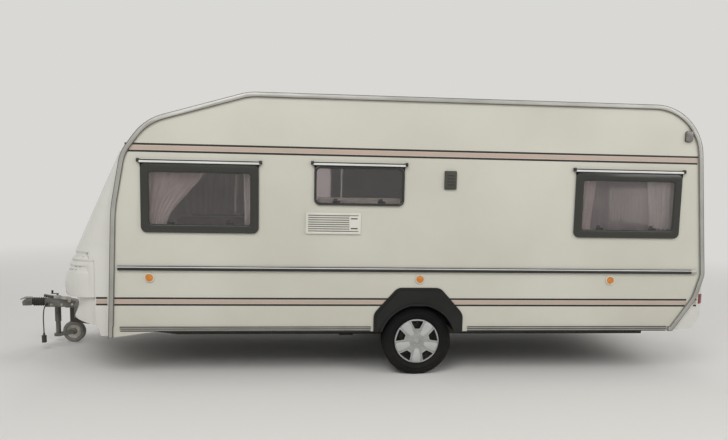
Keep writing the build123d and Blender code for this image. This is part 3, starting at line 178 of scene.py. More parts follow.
@dataclass(frozen=True)
class Finish:
    """One real material: its two colours, gloss, relief and road dust."""

    name: str
    colour: str
    tone: str
    roughness: float
    tone_mm: float = 500.0
    grain: Grain = Grain.MOTTLED
    grain_mm: float = 3.0
    relief_mm: float = 0.1
    metallic: float = 0.0
    ior: float = 1.5
    coat: float = 0.0
    sheen: float = 0.0
    transmission: float = 0.0
    alpha: float = 1.0
    dust: float = 0.0
    dust_top_m: float = 0.75
    dust_colour: str = "#8A8272"

    def build(self) -> bpy.types.Material:
        """Makes the material's node tree.

        Returns:
            The finished material.
        """
        material = bpy.data.materials.new(self.name)
        material.use_nodes = True
        tree = material.node_tree
        shader = tree.nodes["Principled BSDF"]
        fixed = {
            "Metallic": self.metallic,
            "IOR": self.ior,
            "Coat Weight": self.coat,
            "Coat Roughness": 0.08,
            "Sheen Weight": self.sheen,
            "Transmission Weight": self.transmission,
            "Alpha": self.alpha,
        }
        for key, value in fixed.items():
            shader.inputs[key].default_value = value
        where = add_node(tree, "TexCoord").outputs["Object"]
        slow = add_node(tree, "TexNoise", {"Scale": 1000 / self.tone_mm, "Detail": 4.0}, {"Vector": where})
        span = dict(zip(("From Min", "From Max"), TONE_SPAN))
        spread = add_node(tree, "MapRange", span, {"Value": slow.outputs["Fac"]})
        tones = {"data_type": "RGBA", 6: linear(self.colour), 7: linear(self.tone)}
        colour = add_node(tree, "Mix", tones, {0: spread.outputs["Result"]}).outputs[2]
        height = self.relief(tree, where)
        if self.dust:
            colour = self.dusted(tree, where, colour)
        low, high = (self.roughness + step for step in GLOSS_SPAN)
        limits = {"To Min": max(low, 0.02), "To Max": min(high, 1.0)}
        gloss = add_node(tree, "MapRange", limits, {"Value": height})
        depth = {"Strength": BUMP_STRENGTH, "Distance": self.relief_mm / 1000}
        bump = add_node(tree, "Bump", depth, {"Height": height})
        tree.links.new(colour, shader.inputs["Base Color"])
        tree.links.new(gloss.outputs["Result"], shader.inputs["Roughness"])
        tree.links.new(bump.outputs["Normal"], shader.inputs["Normal"])
        return material

    def relief(self, tree: bpy.types.NodeTree, where: bpy.types.NodeSocket) -> bpy.types.NodeSocket:
        """Adds the nodes of the fine relief.

        Args:
            tree: Node tree of the material.
            where: Object coordinates.

        Returns:
            Socket of the height, from 0 to 1.
        """
        scale = 1000 / self.grain_mm
        if self.grain is Grain.WOVEN:
            turn = {"Rotation": (0.0, 0.0, math.radians(12))}
            turned = add_node(tree, "Mapping", turn, {"Vector": where}).outputs["Vector"]
            wave = {"Scale": scale * 0.3, "Distortion": 0.6}
            threads = {}
            for number, axis in enumerate(("X", "Z")):
                thread = add_node(tree, "TexWave", {"bands_direction": axis, **wave}, {"Vector": turned})
                threads[number] = thread.outputs["Fac"]
            return add_node(tree, "Math", {"operation": "MAXIMUM"}, threads).outputs[0]
        if self.grain is Grain.SPANGLE:
            cells = add_node(tree, "TexVoronoi", {"Scale": scale}, {"Vector": where})
            return add_node(tree, "SeparateColor", None, {"Color": cells.outputs["Color"]}).outputs[0]
        stretch = {Grain.MOTTLED: 1.0, Grain.BRUSHED: 0.02, Grain.WOOD: 0.06}[self.grain]
        pulled = add_node(tree, "Mapping", {"Scale": (stretch, 1.0, 1.0)}, {"Vector": where})
        fine = {"Scale": scale, "Detail": 3.0}
        return add_node(tree, "TexNoise", fine, {"Vector": pulled.outputs["Vector"]}).outputs["Fac"]

    def dusted(
        self, tree: bpy.types.NodeTree, where: bpy.types.NodeSocket, colour: bpy.types.NodeSocket
    ) -> bpy.types.NodeSocket:
        """Lays thin road dust over the low parts.

        Args:
            tree: Node tree of the material.
            where: Object coordinates.
            colour: Clean colour.

        Returns:
            Socket of the dusty colour.
        """
        height = add_node(tree, "SeparateXYZ", None, {"Vector": where}).outputs["Z"]
        span = {"From Min": self.dust_top_m, "From Max": 0.2, "To Max": self.dust}
        low = add_node(tree, "MapRange", span, {"Value": height}).outputs["Result"]
        patches = add_node(tree, "TexNoise", {"Scale": 9.0, "Detail": 6.0}, {"Vector": where})
        factors = {0: low, 1: patches.outputs["Fac"]}
        amount = add_node(tree, "Math", {"operation": "MULTIPLY"}, factors).outputs[0]
        over = {"data_type": "RGBA", 7: linear(self.dust_colour)}
        return add_node(tree, "Mix", over, {0: amount, 6: colour}).outputs[2]


# Slot of the record with the real material that stands for it
FINISHES = {
    # Coated sheet on a foam core: cream, satin, waving slightly over its seams, road film at the foot
    "wall_skin": Finish(
        "coated_aluminium_sheet", "#C4C2B7", "#BDBBAF", 0.34, 900, grain_mm=160, relief_mm=0.35, coat=0.12,
        dust=0.22, dust_top_m=0.7,
    ),
    # Gelcoat on glass fibre: whiter and glossier than the walls, with a slight orange peel
    "nose_moulding": Finish(
        "glass_fibre_gelcoat", "#CDCCC6", "#C5C4BE", 0.18, 500, grain_mm=9, relief_mm=0.05, coat=0.7,
        dust=0.2, dust_top_m=0.7,
    ),
    # Tarred underside, darkened further as painted shade under the body: near black, dull, the plies' grain
    # showing through
    "floor_board": Finish(
        "bitumen_coated_plywood", "#1F1D1A", "#191715", 0.7, 300, Grain.WOOD, 12, 0.2, dust=0.1,
    ),
    # Extruded aluminium: pale grey with drawing lines along its length
    "rail_aluminium": Finish(
        "anodised_aluminium", "#A6A59F", "#999892", 0.42, 220, Grain.BRUSHED, 4, 0.04, 0.45,
    ),
    # Moulded polypropylene: black, painted darker than real plastic as shade against the pale floor's light;
    # a fine leather grain breaks up its gloss
    "arch_plastic": Finish(
        "grained_black_plastic", "#0F0F0E", "#161614", 0.55, 180, grain_mm=5, relief_mm=0.3, ior=1.38,
        dust=0.05, dust_top_m=0.6,
    ),
    # Printed acrylic border: dark olive grey with a clear gloss
    "window_border": Finish(
        "tinted_acrylic_border", "#24241F", "#20201B", 0.2, 300, grain_mm=40, relief_mm=0.05, coat=0.3,
    ),
    # Cast acrylic: clear with a faint brown haze, waving slightly in its reflections
    "window_acrylic": Finish(
        "smoked_acrylic", "#D0CACA", "#C9C2C2", 0.04, 400, grain_mm=180, relief_mm=0.06, ior=1.49, coat=0.3,
        transmission=0.982,
    ),
    # Moulded polypropylene: white, soft gloss, fine grain
    "vent_white": Finish(
        "white_polypropylene", "#CFCDC4", "#C6C4BA", 0.45, 200, grain_mm=2, relief_mm=0.05,
    ),
    # Sun-greyed plastic: dull olive with a coarse grain
    "flue_olive": Finish(
        "olive_grey_plastic", "#3C3B33", "#34332C", 0.5, 120, grain_mm=2.5, relief_mm=0.12,
    ),
    # Moulded lens: warm orange, its facets break the gloss
    "amber_lens": Finish(
        "amber_lens_plastic", "#D28626", "#BB7018", 0.15, 60, grain_mm=6, relief_mm=0.5, coat=0.5,
    ),
    # Clear lens over a grey bulb holder: smoky grey with a gloss
    "marker_lens": Finish(
        "smoky_lens_plastic", "#76726D", "#65615D", 0.2, 60, grain_mm=5, relief_mm=0.4, coat=0.4,
    ),
    # Moulded lens: deep red, its prisms break the gloss
    "red_lens": Finish(
        "red_lens_plastic", "#7E1620", "#64101A", 0.15, 60, grain_mm=6, relief_mm=0.5, coat=0.5,
    ),
    # Enamelled sheet: plain white, quite flat
    "plate_blank": Finish(
        "blank_plate_enamel", "#D6D5CE", "#CFCEC6", 0.3, 300, grain_mm=20, relief_mm=0.03,
    ),
    # Vacuum-formed acrylic: milky white, slightly yellowed
    "hatch_plastic": Finish("milky_acrylic", "#D5D3C8", "#CBC9BD", 0.35, 260, grain_mm=6, relief_mm=0.06),
    # Hot-dip zinc, painted dark grey as shade under the body, with road dust: its crystal patches just
    # showing
    "chassis_steel": Finish(
        "weathered_galvanised_steel", "#2A2927", "#201F1D", 0.6, 260, Grain.SPANGLE, 14, 0.03, 0.4,
        dust=0.2,
    ),
    # Cast and pressed steel, greased: mid grey, blotched with dirt
    "hitch_steel": Finish(
        "greased_hitch_steel", "#6E6D68", "#55544E", 0.5, 70, grain_mm=4, relief_mm=0.25, metallic=0.4,
        dust=0.3,
    ),
    # Zinc plating: bright with fine turning lines
    "bright_steel": Finish(
        "zinc_plated_steel", "#B5B3AC", "#8F8D86", 0.34, 50, Grain.BRUSHED, 3, 0.05, 0.95,
    ),
    # Moulded rubber: black, matt, dusty
    "black_rubber": Finish(
        "black_rubber", "#1A1A19", "#232221", 0.7, 60, grain_mm=2, relief_mm=0.08, dust=0.3,
    ),
    # Carbon-black rubber, painted darker than real rubber as shade against the pale floor's light: deepest
    # black of the vehicle, a trace of road dust
    "tyre_rubber": Finish(
        "tyre_rubber", "#080808", "#0D0D0D", 0.72, 90, grain_mm=4, relief_mm=0.15, ior=1.3, dust=0.03,
        dust_top_m=0.4,
    ),
    # Pressed wheel in dark paint: almost lost behind the trim
    "rim_steel": Finish(
        "painted_wheel_steel", "#1E1E1D", "#181817", 0.5, 80, grain_mm=3, relief_mm=0.08, metallic=0.3,
        dust=0.1,
    ),
    # Silver lacquer over plastic: pale grey with fine flakes under a clear gloss
    "trim_silver": Finish(
        "silver_lacquered_plastic", "#A3A4A3", "#969796", 0.26, 90, grain_mm=1.2, relief_mm=0.02,
        metallic=0.5, coat=0.35, dust=0.06,
    ),
    # Moulded cover: olive grey, coarse grain, dusty
    "cover_plastic": Finish(
        "olive_grey_moulding", "#5A5951", "#4C4B44", 0.5, 160, grain_mm=3, relief_mm=0.2, dust=0.4,
    ),
    # Laminate: warm brown with a long grain
    "furniture_board": Finish("wood_grain_laminate", "#6A5846", "#584938", 0.4, 240, Grain.WOOD, 14, 0.08),
    # Woven cloth: brown, soft, its weave drawn coarser than real
    "cushion_fabric": Finish(
        "woven_upholstery", "#8A6F63", "#7A6258", 0.9, 160, Grain.WOVEN, 5, 0.5, sheen=0.3,
    ),
    # Woven cloth: pale rose beige, its weave drawn coarser than real
    "curtain_fabric": Finish(
        "woven_curtain", "#EFE8E4", "#E2D8D2", 0.9, 220, Grain.WOVEN, 4, 0.25, sheen=0.4,
    ),
}

# Finishes of pieces that share a slot with a CAD node
# Net: white, thin enough to see through, its mesh drawn coarser than real
NET = Finish("net_curtain", "#D2CFD0", "#C6C3C4", 0.95, 200, Grain.WOVEN, 5, 0.2, sheen=0.2, alpha=0.66)
# Curtain lining: white, soft, its weave drawn coarser than real
LINING = Finish("white_curtain_lining", "#F6F5F3", "#EDEBE8", 0.9, 200, Grain.WOVEN, 5, 0.2, sheen=0.4)
# Printed film: very dark brown, flat
BROWN_FILM = Finish("brown_stripe_film", "#241A16", "#1D1512", 0.35, 400, grain_mm=30, relief_mm=0.02)
# Printed film: faded rose that turns beige along its length
ROSE_FILM = Finish("rose_stripe_film", "#B5A093", "#AEA092", 0.35, 260, Grain.BRUSHED, 24, 0.02)
# Vinyl strip: black with a soft gloss; the same black lies in the flue cover's slots as painted shade
BLACK_INSERT_AND_SLOT_SHADE = Finish("black_rail_insert", "#171614", "#1F1E1B", 0.45, 200, grain_mm=4, relief_mm=0.06)
# Sealant, and dark lines of painted shadow along the rails and in the vent latch's slots: dark grey, matt
SEAL_AND_SHADE = Finish("grey_rail_seal", "#33322F", "#2C2B28", 0.7, 200, grain_mm=3, relief_mm=0.08)
# Louvre blades in their own shade: mid grey, matt
LOUVRE = Finish("shaded_louvre_plastic", "#75746E", "#6A6964", 0.6, 120, grain_mm=3, relief_mm=0.05)
# Weathered sealant along the edge rails: mid grey, matt
BEAD = Finish("grey_rail_bead", "#494843", "#403F3B", 0.6, 200, grain_mm=3, relief_mm=0.08)
# Lips and ridges of the wheel trims: the same lacquer, painted paler as a highlight
LIP_PAINTED_HIGHLIGHT = Finish(
    "polished_silver_lacquer", "#BDBEBD", "#B2B3B2", 0.2, 90, grain_mm=1.2, relief_mm=0.02, metallic=0.4,
    coat=0.5,
)
# Foam strip: nearly the white of the nose, matt
PALE_SEAL = Finish("pale_lid_seal", "#C4C3BD", "#BBBAB4", 0.5, 200, grain_mm=3, relief_mm=0.08)
# Aluminium extrusion: pale grey, painted almost white as a highlight where it faces the sky
CORD_PAINTED_HIGHLIGHT = Finish(
    "polished_hinge_aluminium", "#D9D9D5", "#CECECA", 0.3, 220, Grain.BRUSHED, 4, 0.03, 0.2,
)
# Ribbed clear lens: pale grey with upright lines
CLEAR_LENS = Finish("clear_ribbed_lens", "#C9C8C2", "#BDBCB6", 0.12, 40, Grain.BRUSHED, 8, 0.5, coat=0.5)
# Grip of the brake lever: grey-black, ribbed
GRIP = Finish("ribbed_grip_plastic", "#33322F", "#2B2A27", 0.55, 60, grain_mm=3, relief_mm=0.2, dust=0.3)
# Solid tyre of the jockey wheel: grey with dried dust
GREY_TYRE = Finish(
    "dusty_solid_rubber", "#686865", "#76756F", 0.75, 70, grain_mm=4, relief_mm=0.2, dust=0.5,
)


class Workshop:
    """Holds the frame and the built materials, and turns bmeshes into pieces."""

    def __init__(self) -> None:
        """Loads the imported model."""
        self.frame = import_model()
        self.cad_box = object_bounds()
        self.materials: dict[str, bpy.types.Material] = {}
        self.slot_of = {row["node"]: row["material_slot"] for row in self.frame["record"]["subparts"]}

    def material(self, finish: Finish) -> bpy.types.Material:
        """Gives the material of a finish, made once.

        Args:
            finish: Wanted finish.

        Returns:
            Its material.
        """
        if finish.name not in self.materials:
            self.materials[finish.name] = finish.build()
        return self.materials[finish.name]

    def dress_nodes(self) -> None:
        """Gives every CAD node the finish of its slot."""
        for name, node in self.frame["nodes"].items():
            node.data.materials.clear()
            node.data.materials.append(self.material(FINISHES[self.slot_of[name]]))
        LOG.info("dressed %d CAD nodes", len(self.frame["nodes"]))

    def piece(
        self,
        name: str,
        shape: bmesh.types.BMesh,
        slot: str,
        finishes: Sequence[Finish] = (),
        body: str = ROOT,
        nodes: Iterable[str] = (),
    ) -> bpy.types.Object:
        """Turns a bmesh into a piece that rides a body.

        Args:
            name: Name of the piece.
            shape: Its mesh, freed here.
            slot: Slot of the record that it takes its finish from.
            finishes: Its finishes in order, the slot's own by default.
            body: Body that carries it.
            nodes: CAD nodes that it stands for.

        Returns:
            The new object.
        """
        mesh = bpy.data.meshes.new(name)
        for face in shape.faces:
            face.smooth = True
        shape.to_mesh(mesh)
        shape.free()
        mesh.set_sharp_from_angle(angle=SHARP_ANGLE)
        for finish in finishes or (FINISHES[slot],):
            mesh.materials.append(self.material(finish))
        piece = bpy.data.objects.new(name, mesh)
        bpy.context.scene.collection.objects.link(piece)
        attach(piece, body)
        if nodes:
            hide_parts(*nodes)
        LOG.info("piece %s on %s", name, body)
        return piece

    def blocks(
        self, name: str, slot: str, boxes: Iterable[tuple], stand: Matrix = FRAME, **how: Any
    ) -> None:
        """Makes a piece of boxes.

        Args:
            name: Name of the piece.
            slot: Its slot.
            boxes: Low corner, high corner, rounding and material number of each box, in mm.
            stand: Axes of the corners, the frame's by default.
            how: Finishes and body, as for any piece.
        """
        shape = bmesh.new()
        for low, high, *form in boxes:
            add_block(shape, Vector(low) / 1000, Vector(high) / 1000, *form, stand=stand)
        self.piece(name, shape, slot, **how)

    def rods(self, name: str, slot: str, rows: Iterable[tuple], **how: Any) -> None:
        """Makes a piece of rods.

        Args:
            name: Name of the piece.
            slot: Its slot.
            rows: Both ends, both radii and the number of sides of each rod, in mm.
            how: Finishes and body, as for any piece.
        """
        shape = bmesh.new()
        for start, end, *form in rows:
            add_rod(shape, place(*start), place(*end), *form)
        self.piece(name, shape, slot, **how)

    def panel(
        self, name: str, slot: str, stand: Matrix, size: tuple[float, float], form: tuple, **how: Any
    ) -> None:
        """Makes a piece of one plate or frame.

        Args:
            name: Name of the piece.
            slot: Its slot.
            stand: Axes at its middle.
            size: Length and height in mm.
            form: Depth, corner radius, width of the frame and softness of the edges in mm.
            how: Finishes and body, as for any piece.
        """
        shape = bmesh.new()
        add_panel(shape, stand, size, *form)
        self.piece(name, shape, slot, **how)

    def copy_of(self, node: str) -> bmesh.types.BMesh:
        """Copies a CAD node's mesh, joined at its seams and with flat faces merged.

        Args:
            node: Name of the node.

        Returns:
            The copy.
        """
        shape = bmesh.new()
        shape.from_mesh(self.frame["nodes"][node].data)
        normals = shape.loops.layers.float_vector.get("custom_normal")
        if normals:
            shape.loops.layers.float_vector.remove(normals)
        bmesh.ops.remove_doubles(shape, verts=shape.verts, dist=SEAM_M)
        bmesh.ops.dissolve_limit(shape, angle_limit=FLAT_ANGLE, verts=shape.verts, edges=shape.edges)
        return shape

    def softened(
        self,
        node: str,
        radius_mm: float,
        body: str = ROOT,
        segments: int = 2,
        finishes: Sequence[Finish] = (),
        name: str = "",
    ) -> None:
        """Stands a copy with rounded edges in a CAD node's place.

        Args:
            node: Name of the node.
            radius_mm: Rounding of its sharp edges.
            body: Body that carries it.
            segments: Steps of the rounding.
            finishes: Its finishes, the slot's own by default.
            name: Name of the piece, the node's with an ending by default.
        """
        shape = self.copy_of(node)
        round_edges(shape, radius_mm, segments)
        self.piece(name or f"{node}_shaped", shape, self.slot_of[node], finishes, body, (node,))


@dataclass
class Assembly:
    """Group of pieces that one workshop makes."""

    shop: Workshop


def bevel(
    shape: bmesh.types.BMesh, geom: Sequence, radius_mm: float, segments: int, affect: str = "EDGES"
) -> None:
    """Rounds edges or corners.

    Args:
        shape: Mesh to round.
        geom: Its edges or vertices.
        radius_mm: Width of the rounding.
        segments: Steps of the rounding.
        affect: "EDGES" or "VERTICES".
    """
    bmesh.ops.bevel(
        shape,
        geom=geom,
        offset=radius_mm / 1000,
        offset_type="OFFSET",
        segments=segments,
        profile=0.5,
        affect=affect,
        clamp_overlap=True,
        material=-1,
    )


def round_edges(
    shape: bmesh.types.BMesh, radius_mm: float, segments: int = 2, edges: Iterable | None = None
) -> None:
    """Bevels the sharp edges of a closed mesh.

    Args:
        shape: Mesh to round.
        radius_mm: Width of the rounding.
        segments: Steps of the rounding.
        edges: Edges to look at, all by default.
    """
    sharp = [
        edge
        for edge in (shape.edges if edges is None else edges)
        if len(edge.link_faces) == 2 and edge.calc_face_angle(0.0) > SHARP_ANGLE
    ]
    bevel(shape, sharp, radius_mm, segments)


def add_block(
    shape: bmesh.types.BMesh,
    low: Vector,
    high: Vector,
    radius_mm: float = 0.0,
    index: int = 0,
    stand: Matrix = Matrix(),
) -> None:
    """Adds a box between two corners to a mesh.

    Args:
        shape: Mesh that takes it.
        low: Lowest corner.
        high: Highest corner.
        radius_mm: Rounding of its edges.
        index: Its material.
        stand: Turn and shift from the box's own axes, none by default.
    """
    matrix = Matrix.Translation((low + high) / 2) @ Matrix.Diagonal((*(high - low), 1.0))
    verts = bmesh.ops.create_cube(shape, size=1.0, matrix=stand @ matrix)["verts"]
    for face in {face for vert in verts for face in vert.link_faces}:
        face.material_index = index
    if radius_mm:
        bevel(shape, list({edge for vert in verts for edge in vert.link_edges}), radius_mm, 2)


def shifted(box: tuple, by: tuple[float, float, float]) -> tuple:
    """Moves a box of a table to its place.

    Args:
        box: Low corner, high corner and the rest of its row, in mm.
        by: Shift in mm.

    Returns:
        The moved row.
    """
    low, high, *form = box
    return (Vector(low) + Vector(by), Vector(high) + Vector(by), *form)


def add_panel(
    shape: bmesh.types.BMesh,
    stand: Matrix,
    size: tuple[float, float],
    depth_mm: float,
    corner_mm: float,
    border_mm: float = 0.0,
    soft_mm: float = 0.0,
) -> None:
    """Adds a plate with rounded corners, or a frame of it, that stands out from a face.

    Args:
        shape: Mesh that takes it.
        stand: Matrix of the plate's middle on that face: x along, y outwards, z up.
        size: Length and height in mm.
        depth_mm: How far it stands out.
        corner_mm: Rounding of its corners.
        border_mm: Width of the frame, or 0 for a whole plate.
        soft_mm: Rounding of its outer edges.
    """
    upright = stand @ Matrix.Rotation(math.radians(90), 4, "X")
    matrix = upright @ Matrix.Diagonal((size[0] / 1000, size[1] / 1000, 1.0, 1.0))
    before = set(shape.faces)
    verts = bmesh.ops.create_grid(shape, x_segments=1, y_segments=1, size=0.5, matrix=matrix)["verts"]
    bevel(shape, verts, corner_mm, CORNER_STEPS, "VERTICES")
    faces = [face for face in shape.faces if face not in before]
    if border_mm:
        faces = cut_frame(shape, faces, border_mm)
    outwards = stand.to_3x3() @ Vector((0, depth_mm / 1000, 0))
    grown = bmesh.ops.extrude_face_region(shape, geom=faces, use_keep_orig=True)["geom"]
    top = [item for item in grown if isinstance(item, bmesh.types.BMVert)]
    bmesh.ops.translate(shape, verts=top, vec=outwards)
    faces = [face for face in shape.faces if face not in before]
    bmesh.ops.recalc_face_normals(shape, faces=faces)
    if soft_mm:
        round_edges(shape, soft_mm, 2, {edge for face in faces for edge in face.edges})


def cut_frame(
    shape: bmesh.types.BMesh, faces: list[bmesh.types.BMFace], border_mm: float
) -> list[bmesh.types.BMFace]:
    """Cuts the middle out of flat faces.

    Args:
        shape: Mesh that holds them.
        faces: Faces to cut.
        border_mm: Width of the frame that is left.

    Returns:
        Faces of the frame.
    """
    frame = bmesh.ops.inset_region(
        shape, faces=faces, thickness=border_mm / 1000, use_boundary=True, use_even_offset=True
    )["faces"]
    bmesh.ops.delete(shape, geom=faces, context="FACES")
    return frame


def add_rod(
    shape: bmesh.types.BMesh,
    start: Vector,
    end: Vector,
    radius_mm: float,
    tip_mm: float,
    sides: int = 24,
) -> None:
    """Adds a round or six-sided rod, or a taper, between two points.

    Args:
        shape: Mesh that takes it.
        start: Middle of one end.
        end: Middle of the other end.
        radius_mm: Radius at the start.
        tip_mm: Radius at the end.
        sides: Number of its sides.
    """
    run = end - start
    turn = run.to_track_quat("Z", "Y").to_matrix().to_4x4()
    bmesh.ops.create_cone(
        shape,
        cap_ends=True,
        segments=sides,
        radius1=radius_mm / 1000,
        radius2=tip_mm / 1000,
        depth=run.length,
        matrix=Matrix.Translation((start + end) / 2) @ turn,
    )


def facing(side: int) -> Matrix:
    """Turn that points y out of one side of the vehicle.

    Args:
        side: 1 for the left side, else -1.

    Returns:
        The matrix.
    """
    return Matrix.Rotation(0.0 if side > 0 else math.pi, 4, "Z")


def stand_on_wall(side: int, a: float, z: float, proud_mm: float = 0.0) -> Matrix:
    """Axes of a piece on a side wall: x along it, y outwards and z up.

    Args:
        side: 1 for the left wall, else -1.
        a: Middle of the piece.
        z: Its height.
        proud_mm: Distance of its foot from the wall's face.

    Returns:
        The matrix.
    """
    return Matrix.Translation(place(a, side * (WALL_FACE + proud_mm), z)) @ facing(side)


def add_spun(
    shape: bmesh.types.BMesh, rows: Sequence[tuple[float, float]], centre: Vector, side: int, steps: int
) -> list[bmesh.types.BMFace]:
    """Spins a closed profile about an axle across the vehicle.

    Args:
        shape: Mesh that takes it.
        rows: Distances outwards and radii of the profile in mm, in order.
        centre: Point on the axle from which distances count.
        side: 1 where outwards is to the left, else -1.
        steps: Number of steps of the full turn.

    Returns:
        The spun faces.
    """
    before = set(shape.faces)
    verts = [shape.verts.new(centre + Vector((0, side * out / 1000, radius / 1000))) for out, radius in rows]
    edges = [shape.edges.new((verts[i - 1], verts[i])) for i in range(len(verts))]
    bmesh.ops.spin(
        shape,
        geom=verts + edges,
        cent=centre,
        axis=(0, 1, 0),
        angle=math.tau,
        steps=steps,
        use_merge=True,
    )
    bmesh.ops.remove_doubles(shape, verts=shape.verts, dist=POINT_M)
    faces = [face for face in shape.faces if face not in before]
    bmesh.ops.recalc_face_normals(shape, faces=faces)
    return faces


def add_arc(
    shape: bmesh.types.BMesh,
    profile: Sequence[tuple[float, float]],
    centre: Vector,
    heading: Vector,
    turn_deg: float,
    steps: int,
) -> None:
    """Sweeps a closed profile part of the way round an upright axis.

    Args:
        shape: Mesh that takes it.
        profile: Radii and heights in mm, in order.
        centre: Point on the axis.
        heading: Level direction of the first section.
        turn_deg: Angle of the sweep, anticlockwise from above.
        steps: Number of its steps.
    """
    verts = [
        shape.verts.new(centre + heading * radius / 1000 + Vector((0, 0, z / 1000))) for radius, z in profile
    ]
    face = shape.faces.new(verts)
    bmesh.ops.spin(
        shape,
        geom=[face, *face.edges, *face.verts],
        cent=centre,
        axis=(0, 0, math.copysign(1, turn_deg)),
        angle=math.radians(abs(turn_deg)),
        steps=steps,
        use_merge=False,
    )
    bmesh.ops.remove_doubles(shape, verts=shape.verts, dist=POINT_M)
    bmesh.ops.recalc_face_normals(shape, faces=shape.faces)


def cut_flat(shape: bmesh.types.BMesh, point: Vector, normal: Vector) -> None:
    """Cuts new edges where a plane meets a mesh.

    Args:
        shape: Mesh to cut.
        point: Point of the plane.
        normal: Its direction.
    """
    geom = [*shape.verts, *shape.edges, *shape.faces]
    bmesh.ops.bisect_plane(shape, geom=geom, dist=POINT_M, plane_co=point, plane_no=normal)


@dataclass
class Studio:
    """Pale floor, soft light and the camera at the photograph's angle."""

    eye: tuple[float, float, float] = (1014.8, 6682.6, 1704.1)
    turn_deg: tuple[float, float, float] = (83.841, -1.1205, 174.7168)
    focal_px: float = 650.0
    image_px: tuple[int, int] = (728, 440)
    centre_row_px: float = 251.89
    sensor_mm: float = 36.0
    floor_m: float = 60.0
    floor_colour: str = "#D9D8D5"
    fade_m: tuple[float, float] = (4.0, 13.0)
    sky_strength: float = 0.55

    def build(self) -> None:
        """Sets up camera, lamps, world and floor."""
        self.place_camera()
        self.light()
        self.lay_floor()
        bpy.context.scene.view_settings.view_transform = "Standard"

    def place_camera(self) -> None:
        """Puts the camera where the photograph was taken from."""
        data = bpy.data.cameras.new("camera")
        data.sensor_width = self.sensor_mm
        data.lens = self.focal_px / self.image_px[0] * self.sensor_mm
        data.shift_y = (self.centre_row_px - self.image_px[1] / 2) / self.image_px[0]
        camera = bpy.data.objects.new("camera", data)
        camera.location = place(*self.eye)
        camera.rotation_euler = [math.radians(v) for v in self.turn_deg]
        bpy.context.scene.collection.objects.link(camera)
        bpy.context.scene.camera = camera

    def light(self) -> None:
        """Adds a soft key, a fill and an even sky."""
        rows = (
            ("key", (2.5, 7.5, 7.0), 400.0, 5.0),
            ("fill", (-6.0, 5.0, 5.0), 180.0, 5.0),
            ("back", (-1.0, -8.0, 6.0), 310.0, 6.0),
        )
        for name, where, power, size in rows:
            data = bpy.data.lights.new(name, "AREA")
            data.energy = power
            data.size = size
            lamp = bpy.data.objects.new(name, data)
            lamp.location = where
            lamp.rotation_euler = (Vector((0, 0, 1.0)) - Vector(where)).to_track_quat("-Z", "Y").to_euler()
            bpy.context.scene.collection.objects.link(lamp)
        world = bpy.data.worlds.new("studio")
        world.use_nodes = True
        bpy.context.scene.world = world
        tree = world.node_tree
        tree.nodes.clear()
        glow = add_node(tree, "Background", {"Color": linear("#F4F3F1"), "Strength": self.sky_strength})
        wall = add_node(tree, "Background", {"Color": linear(self.floor_colour), "Strength": 1.0})
        shares = {0: self.seen(tree), 1: glow.outputs[0], 2: wall.outputs[0]}
        mix = add_node(tree, "MixShader", None, shares)
        add_node(tree, "OutputWorld", None, {"Surface": mix.outputs[0]})

    def seen(self, tree: bpy.types.NodeTree) -> bpy.types.NodeSocket:
        """Adds the test of rays that see the backdrop instead of taking light from it.

        Args:
            tree: Node tree of the floor or the world.

        Returns:
            Socket that is one for such rays.
        """
        path = add_node(tree, "LightPath")
        either = {"operation": "MAXIMUM"}
        rays = {0: path.outputs["Is Glossy Ray"], 1: path.outputs["Is Transmission Ray"]}
        mirrored = add_node(tree, "Math", either, rays).outputs[0]
        rays = {0: path.outputs["Is Camera Ray"], 1: mirrored}
        return add_node(tree, "Math", either, rays).outputs[0]

    def lay_floor(self) -> None:
        """Lays the pale studio floor, which runs into the backdrop far from the object."""
        shape = bmesh.new()
        bmesh.ops.create_grid(shape, x_segments=1, y_segments=1, size=self.floor_m)
        mesh = bpy.data.meshes.new("studio_floor")
        shape.to_mesh(mesh)
        shape.free()
        material = Finish(
            "studio_floor", self.floor_colour, self.floor_colour, 0.8, grain_mm=40, relief_mm=0.05
        ).build()
        tree = material.node_tree
        where = add_node(tree, "TexCoord").outputs["Object"]
        away = add_node(tree, "VectorMath", {"operation": "LENGTH"}, {0: where}).outputs["Value"]
        near_m, far_m = self.fade_m
        span = {"interpolation_type": "SMOOTHSTEP", "From Min": near_m, "From Max": far_m}
        fade = add_node(tree, "MapRange", span, {"Value": away}).outputs["Result"]
        factors = {0: fade, 1: self.seen(tree)}
        amount = add_node(tree, "Math", {"operation": "MULTIPLY"}, factors).outputs[0]
        glow = add_node(tree, "Emission", {"Color": linear(self.floor_colour), "Strength": 1.0})
        shares = {0: amount, 1: tree.nodes["Principled BSDF"].outputs[0], 2: glow.outputs[0]}
        mixed = add_node(tree, "MixShader", None, shares)
        tree.links.new(mixed.outputs[0], tree.nodes["Material Output"].inputs["Surface"])
        mesh.materials.append(material)
        floor = bpy.data.objects.new("studio_floor", mesh)
        bpy.context.scene.collection.objects.link(floor)
        floor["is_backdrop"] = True


@dataclass
class Lead(Assembly):
    """Electrical lead that hangs from the overrun housing, with its plug."""

    exit_a: float = 3540.0
    exit_y: float = 85.0
    heading: tuple[float, float] = (-0.14, 0.99)
    diameter: float = 0.011
    length: float = 0.328
    # Distance out of the gland along the heading, and height, in mm
    route: tuple = (
        (0, 430), (45, 427), (86, 405), (112, 365), (122, 315), (119, 265), (113, 215), (112, 175),
    )

